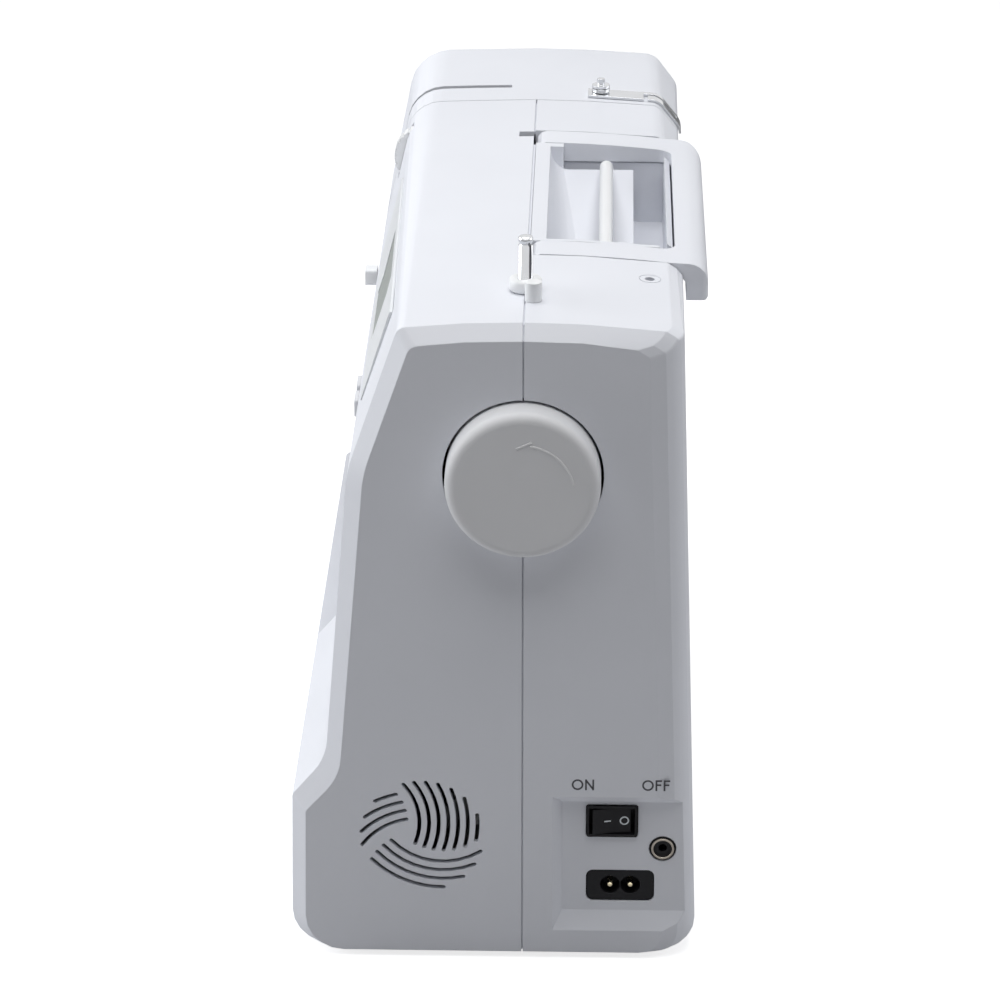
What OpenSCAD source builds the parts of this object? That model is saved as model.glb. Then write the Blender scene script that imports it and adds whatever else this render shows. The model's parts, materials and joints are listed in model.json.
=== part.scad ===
/* [Body shell] */
// Length of the body from the right end face to the left tip
body_len = 394; // [380:1:410]
// Height of the crown above the underside of the body
body_h = 284; // [278:1:292]
// Wall of the moulded covers
wall = 2.5; // [2:0.1:3]
// Gap along the seam between the front and rear covers
seam_gap = 0.6; // [0.4:0.1:0.8]
// Depth of the front edge of the base in front of the seam
base_front = 98.4; // [94:0.2:104]
// Depth of the rear wall behind the seam at the base
base_rear = 74; // [72:0.2:78]
// Height of the bed above the underside of the body
bed_h = 71; // [70:0.5:73]
// Height of the knee, the fold line across the front
knee_z = 218.4; // [214:0.2:222]
// Depth of the knee in front of the seam
knee_y = 72.2; // [70:0.2:76]
// Depth of the brow, where the slope meets the crown, at the right end
brow_y = 50.8; // [48:0.2:53]
// Depth of the chamfer round the right end face
chamfer = 6; // [4:0.5:8]
// Radius of the rear vertical edge of the right end face
rear_round = 14; // [10:0.5:16]
// Height of the rubber feet
foot_h = 3; // [2:0.5:5]
// Distance of the seam plane behind the middle of the whole machine
seam_y = 11.06; // [8:0.02:14]

/* [Column, arm and head] */
// Width of the column from the right end face
column_w = 165; // [160:1:170]
// Height of the arm's underside
arm_under_z = 186; // [184:1:190]
// Length of the head, from its right side to the left tip
head_len = 109; // [104:1:112]
// Height of the head's underside
head_under_z = 146; // [144:1:150]
// Length of the face cover, from its joint line to the left tip
face_len = 91; // [89:1:94]
// Distance of the needle from the left tip
needle_in = 62; // [60:1:64]
// Front face of the free arm, in front of the seam
arm_front = 46; // [45:0.5:48]
// Rear face of the free arm, behind the seam
arm_rear = 44; // [43:0.5:46]
// Height of the free arm, from its underside to the bed
arm_h = 54; // [53:0.5:55]
// Distance of the free arm's tip from the left tip
arm_in = 16; // [14:1:20]

/* [Drive] */
// Height of the main shaft
shaft_z = 219.8; // [218:0.2:222]
// Radius of the main shaft
shaft_r = 4.5; // [4:0.25:5]
// Radial running clearance of shafts and pins
run_gap = 0.05; // [0.03:0.01:0.08]
// Clearance between pieces that do not touch
gap = 0.4; // [0.3:0.05:0.5]
// Radius of the handwheel
wheel_r = 31.7; // [30:0.1:33]
// Gap round the handwheel
wheel_gap = 1.2; // [0.8:0.1:1.6]
// How far the handwheel stands out of the end face
wheel_out = 13; // [10:0.5:15]
// Throw of the needle crank, half the needle stroke
crank_r = 15; // [14:0.25:15.5]
// Depth of the lower shaft below the bed
low_drop = 37; // [36:0.25:37.5]
// Depth of the lower shaft and of the hook in front of the seam
hook_y = 20; // [19.5:0.25:20.5]
// Outer radius of the rotary hook
hook_r = 19; // [18.5:0.25:19]
// Radius of the bobbin's flanges
bobbin_r = 10.15; // [9.8:0.05:10.3]
// Height of the bobbin
bobbin_h = 11.5; // [11:0.1:11.7]

/* [Right end panel] */
// Distance of the power recess's front edge behind the seam
recess_y = 12.8; // [11:0.1:15]
// Height of the power recess's lower edge
recess_z = 10.5; // [9:0.1:12]
// Height of the power recess's upper edge
recess_top = 74; // [73:0.1:77]
// Depth of the power recess
recess_d = 4; // [3:0.25:5]
// Width of the rocker switch
switch_w = 22; // [21:0.25:22.5]
// Height of the rocker switch
switch_h = 15; // [14:0.25:15.5]
// Width of the power inlet
inlet_w = 29; // [28:0.25:30]
// Height of the power inlet
inlet_h = 15; // [14:0.25:15.5]
// Radius of the bore of the pedal jack
jack_r = 1.8; // [1.7:0.05:1.9]
// Radius of the vent's circle
vent_r = 25.6; // [24:0.2:27]
// Width of a vent slot
vent_w = 1.7; // [1.4:0.1:1.9]

/* [Handle and spool] */
// Width of each arm of the carry handle
handle_arm_w = 17; // [15:0.25:18]
// Distance from the right end face to the handle's right side
handle_x = 88; // [86:0.5:90]
// Width of the handle over its arms
handle_w = 168; // [164:0.5:172]
// Thickness of the handle
handle_t = 9; // [8:0.25:10]
// Radius of the spool pin
spool_pin_r = 3; // [2.5:0.1:3.2]
// Depth of the spool pin behind the seam
spool_pin_y = 32.8; // [32:0.2:34]
// Radius of the hole for the second spool pin
second_pin_r = 2.05; // [1.8:0.05:2.2]
// Radius of the bobbin winder's spindle
winder_r = 3; // [2.8:0.1:3.1]
// How far the winder's spindle moves away from its stop
winder_throw = 4; // [3:0.25:4.5]

/* [Front controls] */
// Radius of the start and stop button
start_r = 7; // [6:0.25:7.5]
// Radius of the small buttons
button_r = 4.5; // [4:0.25:5]
// Travel of a button
button_travel = 1; // [0.8:0.1:1.2]
// Radius of the tension dial
dial_r = 14; // [13:0.25:14.5]
// Width of the tension dial
dial_w = 7; // [6:0.25:7]

/* [Hidden] */

end_x = (body_len - wheel_out) / 2;
head_right = body_len - head_len;
face_seam = body_len - face_len;
needle_x = body_len - needle_in;
arm_tip = body_len - arm_in;
arm_bottom = bed_h - arm_h;
low_z = bed_h - low_drop;
far = 500;
white = [0.93, 0.94, 0.96];
dark = [0.08, 0.08, 0.09];
steel = [0.72, 0.73, 0.75];
cast = [0.6, 0.61, 0.63];

module on_machine() translate([end_x, seam_y, foot_h]) children();
function mix(a, b, t) = a + (b - a) * t;
function unit(v) = v / norm(v);
function clamp01(t) = max(0, min(1, t));

// A corner [y, z, r] between its neighbours, rounded with its own radius in a number of steps
function round_corner(p, a, b, steps) =
  p[2] == 0 ? [[p[0], p[1]]] :
  let (c = [p[0], p[1]],
       u = unit([a[0], a[1]] - c),
       v = unit([b[0], b[1]] - c),
       half = acos(u * v) / 2,
       start = c + u * p[2] / tan(half),
       end = c + v * p[2] / tan(half),
       middle = c + unit(u + v) * p[2] / sin(half),
       from = atan2(start[1] - middle[1], start[0] - middle[0]),
       to = atan2(end[1] - middle[1], end[0] - middle[0]),
       turn = (to - from + 540) % 360 - 180)
  [for (i = [0:steps]) middle + p[2] * [cos(from + turn * i / steps), sin(from + turn * i / steps)]];

function round_path(corners, steps) =
  let (n = len(corners))
  [for (i = [0:n - 1])
    for (p = round_corner(corners[i], corners[(i + n - 1) % n], corners[(i + 1) % n], steps)) p];

// A closed path moved inwards by d, each point along the bisector of its two edges
function inset_path(path, d) =
  let (n = len(path))
  [for (i = [0:n - 1])
    let (u = unit(path[i] - path[(i + n - 1) % n]),
         v = unit(path[(i + 1) % n] - path[i]),
         nu = [-u[1], u[0]],
         nv = [-v[1], v[0]])
    path[i] + (nu + nv) * d / (1 + nu * nv)];

// Solid skin over a row of sections of equally many points, each [x, path].
// A hub, a place [y, z] in sight of every point, closes the two ends with a fan of triangles.
module loft(sections, hub) {
  n = len(sections[0][1]);
  m = len(sections);
  skin = [for (s = sections) for (p = s[1]) [s[0], p[0], p[1]]];
  sides = [for (j = [0:m - 2]) for (i = [0:n - 1])
    let (a = j * n + i, b = j * n + (i + 1) % n)
    for (f = [[a, b, b + n], [a, b + n, a + n]]) f];
  plain_ends = [[for (i = [n - 1:-1:0]) i], [for (i = [0:n - 1]) (m - 1) * n + i]];
  fan_ends = [for (i = [0:n - 1])
    for (f = [[(i + 1) % n, i, m * n], [(m - 1) * n + i, (m - 1) * n + (i + 1) % n, m * n + 1]]) f];
  points = is_undef(hub) ? skin
    : concat(skin, [for (j = [0, m - 1]) [sections[j][0], hub[0], hub[1]]]);
  polyhedron(points = points, faces = concat(sides, is_undef(hub) ? plain_ends : fan_ends), convexity = 6);
}

// ---- the body's outline ----
// Corners run from the front foot round the rear and the crown back to the ledge.
// Each is [y, z, r] at the right, [y, z, r] at the left, chamfer shift [y, z], rear round share
crown = body_h;
rear_top = base_rear - 9.2;
ledge_front = base_front - 1.2;
corner_table = [
  [[-base_front, 0, 16], [-base_front, 0, 16], [chamfer, 0], 0],
  [[base_rear, 0, 10], [base_rear, 0, 10], [0, 0], 1],
  [[rear_top, crown - 6.5, 2], [rear_top + 2, crown - 17, 9], [0, -chamfer], 1],
  [[rear_top - 5, crown - 3.3, 2], [rear_top - 9, crown - 2.4, 9], [0, -chamfer], 1],
  [[24, crown - 0.55, 0], [24, crown - 0.55, 0], [0, -chamfer], 0],
  [[0, crown, 0], [0, crown, 0], [0, -chamfer], 0],
  [[-24, crown - 0.55, 0], [-24, crown - 0.55, 0], [0, -chamfer], 0],
  [[-brow_y, crown - 2.7, 5], [-brow_y - 8.6, crown - 1.4, 20], [chamfer - 1, -chamfer], 0],
  [[-knee_y, knee_z, 60], [-knee_y, knee_z, 60], [chamfer + 1, 1], 0],
  [[-knee_y - 10.6, bed_h + 17, 25], [-knee_y - 10.6, bed_h + 17, 25], [chamfer, -chamfer], 0],
  [[-ledge_front, bed_h, 3], [-ledge_front, bed_h, 3], [chamfer, 1 - chamfer], 0]
];

left_round = 8;
least_round = 0.4;
section_hub = [0, 100];
function chamfer_share(x) = clamp01(1 + x / chamfer);
function round_share(x) = 1 - sqrt(1 - pow(clamp01(1 + x / rear_round), 2));
function left_share(x) = clamp01((-x - rear_round) / (body_len - left_round - rear_round));
function left_inset(x) =
  let (t = clamp01((-x - body_len + left_round) / left_round)) left_round * (1 - sqrt(1 - t * t));

// The corners of a section moved inwards by d, with their rounding radii made smaller to match
function inset_corners(corners, d) =
  let (moved = inset_path([for (c = corners) [c[0], c[1]]], d))
  [for (i = [0:len(corners) - 1])
    [moved[i][0], moved[i][1], corners[i][2] == 0 ? 0 : max(least_round, corners[i][2] - d)]];

// The outline at a distance x along the machine, moved inwards by d
function outline(x, d) = round_path(inset_corners([for (c = corner_table)
  let (p = mix(c[0], c[1], left_share(x)),
       s = chamfer_share(x),
       back = c[3] * rear_round * round_share(x))
  [p[0] + c[2][0] * s - back, p[1] + c[2][1] * s, p[2]]], left_inset(x) + d), 5);

stations = concat([for (t = [0, 1 / 9, 2 / 9, 3 / 9]) -t * rear_round],
  [-chamfer, -0.55 * rear_round, -0.78 * rear_round, -rear_round, -face_seam],
  [for (t = [1, 0.5, 0.12]) left_round * t - body_len], [-body_len + 0.02]);

// The solid body, or with an inset the space inside walls of that thickness
module envelope(inset) {
  inner = [for (x = stations) x > -body_len / 2 ? x - inset : x + inset];
  loft([for (i = [0:len(stations) - 1]) [inner[i], outline(stations[i], inset)]], section_hub);
}

// ---- shared shapes, all in machine coordinates: x = 0 at the right end face ----
module box(low, high) translate(low) cube(high - low);
module rod_x(x0, x1, y, z, r) translate([x0, y, z]) rotate([0, 90, 0]) cylinder(r = r, h = x1 - x0, $fn = 48);
module rod_y(y0, y1, x, z, r) translate([x, y0, z]) rotate([-90, 0, 0]) cylinder(r = r, h = y1 - y0, $fn = 48);
module rod_z(z0, z1, x, y, r) translate([x, y, z0]) cylinder(r = r, h = z1 - z0, $fn = 48);
module plate_y(y0, y1) translate([0, y1, 0]) rotate([90, 0, 0]) linear_extrude(y1 - y0) children();
module plate_x(x0, x1) translate([x0, 0, 0]) rotate([90, 0, 90]) linear_extrude(x1 - x0) children();
module plate_z(z0, z1) translate([0, 0, z0]) linear_extrude(z1 - z0) children();

// Rectangle with the lower corner, the upper corner and a corner radius
module round_rect(low, high, r) polygon(round_path([[low[0], low[1], r], [high[0], low[1], r],
  [high[0], high[1], r], [low[0], high[1], r]], 6));

// Depth of the front wall in front of the seam, at height z between the ramp and the brow
function front_at(z) = z < knee_z
  ? knee_y + 10.6 * (knee_z - z) / (knee_z - bed_h - 17)
  : mix(knee_y, brow_y, (z - knee_z) / (crown - 2.7 - knee_z));
function slope_at(x, z) = mix(knee_y, brow_y + 8.6 * left_share(x), (z - knee_z) / (crown - 2 - knee_z));
function crown_at(y) = crown - y * y / 1040;

// Space under the arm and left of the column, grown into the wall by g
module under_arm(g) plate_y(-far, far) polygon(inset_path(round_path([[-column_w, -2 * far, 0],
  [-column_w, arm_under_z, 20], [-head_right, arm_under_z, 12], [-head_right, head_under_z, 6],
  [-2 * far, head_under_z, 0], [-2 * far, -2 * far, 0]], 6), -g));

// The part of the shell between two corners, left open where the corners cut it
module shell_part(low, high) difference() {
  intersection() {
    envelope(0);
    box(low, high);
  }
  under_arm(0);
  difference() {
    intersection() {
      envelope(wall);
      box([for (v = low) v - 1], [for (v = high) v + 1]);
    }
    under_arm(wall);
  }
}

seam_half = seam_gap / 2;
column_in = column_w - wall;
tray_z = 240;
tray_y0 = 0.9;
tray_rear = base_rear - 12.8;
handle_end = handle_x + handle_w;
handle_y0 = 1;
pivot_y = 5.5;
pivot_z = crown - 4.5;
handle_under = crown - handle_t;
winder_x = 43.9;
winder_low = tray_z + 22;
stop_x = 32;
second_pin_x = 65.8;
second_pin_y = 51.1;
wheel_open = wheel_r + wheel_gap;

// Openings that both halves of the shell share
module shell_openings() {
  rod_x(-wall - rear_round, 1, 0, shaft_z, wheel_open);
  box([-column_w - 1, -arm_front + wall, -1], [-column_in + 1, arm_rear - wall, bed_h - wall]);
  box([-column_in, -base_front + 9, -1], [-9, base_rear - 16, wall + 1]);
  for (x = [-winder_x, -winder_x - winder_throw])
    rod_z(tray_z + 30, far, x, 0, winder_r + 0.6);
  box([-winder_x - winder_throw, -winder_r - 0.6, tray_z + 30], [-winder_x, winder_r + 0.6, far]);
}

// ---- vent: three families of concentric slots inside one circle ----
vent_y = -42.3;
vent_z = 54.5;
vent_pitch = 4.08;
right_hub = [-70.5, 61.2];
low_hub = [-33.7, 71.3];
left_hub = [-42.9, 33];
vent_hub = [vent_y, vent_z];
right_first = 27.2;
low_first = 28.5;
left_first = 30.2;
slot_gap = 5.4;

// Direction, seen from hub, in which its circle of radius r meets the circle of radius reach round other
function meet(hub, r, other, reach, side) =
  let (d = norm(other - hub))
  atan2(other[1] - hub[1], other[0] - hub[0])
  + side * acos(max(-1, min(1, (r * r + d * d - reach * reach) / (2 * r * d))));

// Slot along a circle round a hub, with rounded ends
module vent_slot(hub, r, from, to) translate([-wall - 2, hub[0], hub[1]]) rotate([90, 0, 90])
  linear_extrude(wall + 3) {
    turn = sign(to - from) * 30;
    half = vent_w / 2;
    arc = [for (i = [0:8]) from + (to - from) * i / 8];
    polygon(concat([for (a = arc) (r + half) * [cos(a), sin(a)]],
      [for (k = [1:5]) r * [cos(to), sin(to)] + half * [cos(to + turn * k), sin(to + turn * k)]],
      [for (i = [8:-1:0]) (r - half) * [cos(arc[i]), sin(arc[i])]],
      [for (k = [1:5]) r * [cos(from), sin(from)] - half * [cos(from + turn * k), sin(from + turn * k)]]));
  }

module vent() {
  for (i = [0:6]) let (r = right_first + i * vent_pitch)
    vent_slot(right_hub, r, meet(right_hub, r, low_hub, low_first - slot_gap, -1),
      meet(right_hub, r, vent_hub, vent_r, 1));
  for (i = [0:3]) let (r = left_first + i * vent_pitch)
    vent_slot(left_hub, r, meet(left_hub, r, right_hub, right_first - slot_gap, -1),
      meet(left_hub, r, vent_hub, vent_r, 1));
  for (i = [0:3]) let (r = low_first + i * vent_pitch)
    vent_slot(low_hub, r, meet(low_hub, r, left_hub, left_first - slot_gap - 1.6, -1),
      meet(low_hub, r, vent_hub, vent_r, 1));
}

// ---- front controls ----
slider_x = head_right - 20;
slider_z = 210;
slider_throw = 13;
key_z = 211;
next_x = 100;
back_x = 118;
key_w = 12;
key_h = 8;
start_x = needle_x - 4;
reverse_x = needle_x + 14;
needle_key_x = needle_x + 28;
button_z = head_under_z + 26;
dial_x = head_right + 2;
dial_z = 262;
dial_y = slope_at(-dial_x, dial_z) - dial_r + 4;
panel_right = 60;
panel_left = head_right - 49;
panel_low = 228;
panel_high = 268;
panel_rim = 5;
panel_sink = 1.2;
board_left = panel_left - 6;
board_right = 130;
board_low = panel_low + 4;
board_y = -44;
board_t = 1.6;
window_right = 118;
window_left = 178;
lamp_x = face_seam - 7;
lamp_y = -14;
lamp_r = 5;
post_r = 2;
bracket_t = 2.4;
bracket_off = dial_w / 2 + 2 * gap;

// Slab on the slope of the front between two places and two heights, from out to in
module slope_slab(x0, x1, z0, z1, out, in) loft([for (x = [x1, x0])
  [x, [[-slope_at(x, z0) - out, z0], [-slope_at(x, z0) + in, z0],
       [-slope_at(x, z1) + in, z1], [-slope_at(x, z1) - out, z1]]]]);

module rounded_block(x, z, w, h, y0, y1, r) plate_y(y0, y1)
  round_rect([x - w / 2, z - h / 2], [x + w / 2, z + h / 2], r);

module front_cover() color(white) on_machine() difference() {
  union() {
    difference() {
      shell_part([-face_seam, -far, -far], [far, -seam_half, far]);
      shell_openings();
      vent();
      slope_slab(-panel_left, -panel_right, panel_low, panel_high, 9, panel_sink);
      box([-dial_x - dial_w / 2 - gap, -far, dial_z - dial_r * 0.8],
        [-dial_x + dial_w / 2 + gap, -40, dial_z + dial_r + gap]);
      for (x = [next_x, back_x])
        rounded_block(-x, key_z, key_w + 2 * gap, key_h + 2 * gap, -far, -60, 1.6);
      box([-slider_x - slider_throw - 2.4, -far, slider_z - 1.9],
        [-slider_x + slider_throw + 2.4, -60, slider_z + 1.9]);
      box([-handle_end + 1, -7, crown - 8], [-handle_end + 8, 0, far]);
      rod_z(head_under_z - 5, head_under_z + 5, -lamp_x, lamp_y, lamp_r + gap);
    }
    intersection() {
      envelope(1);
      for (x = [-bracket_off - bracket_t, bracket_off])
        box([-dial_x + x, -far, dial_z - 9], [-dial_x + x + bracket_t, -dial_y + 5, dial_z + 9]);
    }
  }
  rod_x(-dial_x - bracket_off - 2 * bracket_t, -dial_x + bracket_off + 2 * bracket_t, -dial_y, dial_z, post_r);
}

// ---- power recess ----
recess_back = recess_d + wall;
switch_y = 37.8;
switch_z = 61.1;
inlet_y = 41.5;
inlet_z = 30.2;
jack_y = 59.3;
jack_z = 48.1;
jack_ring = 5.8;

module recess_pocket() hull() {
  box([0, recess_y, recess_z], [1, base_rear + 20, recess_top]);
  box([-recess_d, recess_y + recess_d, recess_z + 2 * recess_d],
    [-recess_d + 0.1, base_rear + 20, recess_top - recess_d]);
}

screw_x = [75, column_w - 35];
screw_z = [30, arm_under_z - 16];
screw_r = 2;
screw_y = base_rear - 14;
web_y0 = 30;
web_y1 = 36;

module rear_cover() color(white) on_machine() difference() {
  union() {
    difference() {
      shell_part([-face_seam, seam_half, -far], [far, far, far]);
      shell_openings();
    }
    intersection() {
      envelope(0);
      union() {
        box([-recess_back, recess_y - wall, recess_z - wall], [1, far, recess_top + wall]);
        rod_z(crown - 18, crown, -second_pin_x, second_pin_y, 5);
        for (x = [[-handle_x + 0.7, -handle_x + 6], [-handle_end - 6, -handle_end - 0.7]])
          box([x[0], seam_half, handle_under - 1], [x[1], pivot_y + 6, crown + 1]);
        for (x = screw_x) for (z = screw_z) rod_y(web_y1, far, -x, z, 5);
      }
    }
  }
  recess_pocket();
  rounded_x(switch_y, switch_z, switch_w, switch_h, 1);
  rounded_x(inlet_y, inlet_z, inlet_w, inlet_h, 3);
  rod_x(-recess_back - 1, 1, jack_y, jack_z, jack_ring);
  rod_z(crown - 17, crown + 1, -second_pin_x, second_pin_y, second_pin_r);
  rod_z(tray_z, crown + 1, -stop_x, 3.4, 2);
  box([-handle_end - 0.7, -far, tray_z + 8], [-handle_x + 0.7, tray_rear + 0.4, far]);
  box([-handle_end - 0.7, 0, handle_under - 0.5], [-handle_x + 0.7, far, far]);
  box([-handle_end - 0.7, lip_y - lip_round - 0.5, handle_under - lip_round - 0.4],
    [-handle_x + 0.7, far, far]);
  rod_x(-handle_end - 4, -handle_x + 4, pivot_y, pivot_z, 2.5);
  for (x = screw_x) for (z = screw_z) {
    rod_y(0, far, -x, z, screw_r);
    rod_y(screw_y, far, -x, z, 3.6);
  }
}

module rounded_x(y, z, w, h, r) plate_x(-recess_back - 1, 2)
  round_rect([y - w / 2, z - h / 2], [y + w / 2, z + h / 2], r);

lever_x = needle_x - 7;
lever_t = 2.4;

module face_cover() color(white) on_machine() difference() {
  shell_part([-far, -far, -far], [-face_seam - seam_gap, far, far]);
  plate_z(head_under_z - 1, head_under_z + wall + 1)
    round_rect([-needle_x - 38, -30], [-face_seam - 3, 46], 8);
  box([-lever_x - 2, -far, 214], [-lever_x + 2, -12, far]);
  rod_y(-far, -60, -start_x, button_z, start_r + gap);
  for (x = [reverse_x, needle_key_x]) rod_y(-far, -60, -x, button_z, button_r + gap);
}

// ---- base ----
sole_left = column_w + 97;
module base_cover() color(white) on_machine() difference() {
  union() {
    plate_z(0, 3) round_rect([-column_in + gap, -base_front + 9 + gap], [-9 - gap, base_rear - 16 - gap], 4);
    box([-sole_left, -arm_front + 4, 0], [-column_in + 6, arm_rear - 4, arm_bottom + 1]);
    plate_z(arm_bottom, arm_bottom + wall)
      round_rect([-arm_tip + wall + gap, -arm_front + wall + gap], [-column_w + 5, arm_rear - wall - gap], 19);
  }
  box([-sole_left + wall, -arm_front + 4 + wall, wall], [-column_in + 4, arm_rear - 4 - wall, arm_bottom + 4]);
}

plate_screw_sink = 1.2;
foot_r = 8;
foot_places = [[-24, -72], [-24, 44], [-column_w + 15, -72], [-sole_left + 12, -30], [-sole_left + 12, 30]];
module rubber_feet() color(dark) on_machine() for (p = foot_places) difference() {
  rod_z(-foot_h, 0, p[0], p[1], foot_r);
  rod_z(-foot_h - 1, -foot_h / 2, p[0], p[1], foot_r / 3);
}

module cover_screws() color(steel) on_machine() {
  for (x = screw_x) for (z = screw_z) {
    rod_y(web_y0 + 1, screw_y, -x, z, screw_r - 0.1);
    rod_y(screw_y, screw_y + 2.2, -x, z, 3.3);
  }
  for (x = [-24, 24]) {
    rod_z(bed_h - plate_screw_sink, bed_h - 0.1, -needle_x + x, 14, 2.6);
    rod_z(bed_h - 6, bed_h - plate_screw_sink, -needle_x + x, 14, 1.4);
  }
}

// ---- free arm and needle plate ----
plate_t = 2;
plate_half = 31;
plate_front = 43;
plate_rear = 22;
feed_x = 5.6;
feed_throw = 2.5;
dog_rear = 15;
slot_rear = dog_rear + feed_throw + 0.6;
dog_front = hook_r - hook_y + feed_throw + gap;
module free_arm_cover() color(white) on_machine() difference() {
  plate_z(arm_bottom, bed_h) polygon(round_path([[-arm_tip, -arm_front, 22], [-column_w - gap, -arm_front, 0],
    [-column_w - gap, arm_rear, 0], [-arm_tip, arm_rear, 22]], 8));
  plate_z(arm_bottom - 1, bed_h - wall) polygon(round_path([[-arm_tip + wall, -arm_front + wall, 19.5],
    [-column_w + 1, -arm_front + wall, 0], [-column_w + 1, arm_rear - wall, 0],
    [-arm_tip + wall, arm_rear - wall, 19.5]], 8));
  plate_z(bed_h - wall - 1, bed_h + 1)
    round_rect([-needle_x - plate_half - 0.2, -plate_front - 0.2],
      [-needle_x + plate_half + 0.2, plate_rear + 0.2], 3);
}

bobbin_cover_x = 18;
bobbin_cover_y0 = -41;
bobbin_cover_y1 = -10;
module needle_plate() color(steel) on_machine() difference() {
  plate_z(bed_h - plate_t, bed_h)
    round_rect([-needle_x - plate_half, -plate_front], [-needle_x + plate_half, plate_rear], 3);
  box([-needle_x - bobbin_cover_x, bobbin_cover_y0, 0], [-needle_x + bobbin_cover_x, bobbin_cover_y1, far]);
  for (x = [-feed_x, feed_x])
    box([-needle_x + x - 1.8, dog_front - feed_throw - 0.6, 0], [-needle_x + x + 1.8, slot_rear, far]);
  box([-needle_x - 1.8, 5, 0], [-needle_x + 1.8, slot_rear, far]);
  box([-needle_x - 4.2, -1.2, 0], [-needle_x + 4.2, 1.2, far]);
  for (x = [-4.2, 4.2]) rod_z(0, far, -needle_x + x, 0, 1.2);
  for (x = [-24, 24]) {
    rod_z(0, far, -needle_x + x, 14, 1.6);
    rod_z(bed_h - plate_screw_sink, far, -needle_x + x, 14, 2.9);
  }
}

// ---- frame ----
bush_r = shaft_r + 2;
low_shaft_r = 4;
low_bush_r = low_shaft_r + 2;
hook_bush_r = 5;
hook_spindle_r = 3;
main_lugs = [70, 190, needle_x - 36];
low_lugs = [70, 190, needle_x - 30];
lug_w = 10;
web_right = 62;
web_low = 8;
web_top = crown - 22;
web_inner = column_w - 25;
strut_z = low_z + 13;
guide_low = head_under_z + 18;
guide_high = guide_low + 58;
presser_y = 13;
presser_r = 3;
gate_x = needle_x + 8;
gate_pivot_z = crown - 28;
threader_x = needle_x + 20;
threader_r = 2;
hole_lever_x = needle_x + 29;
hole_lever_y = 16;
hole_bar = 4;
lift_pivot_x = needle_x - 6;
lift_pivot_z = head_under_z + 6;
lift_pin_y = 22;
lift_pin_z = crown - 44;
motor_y = -44;
motor_z = 118;
motor_r = 23;
motor_x1 = -72;
motor_len = 58;
needle_bar_r = 3.2;

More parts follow.
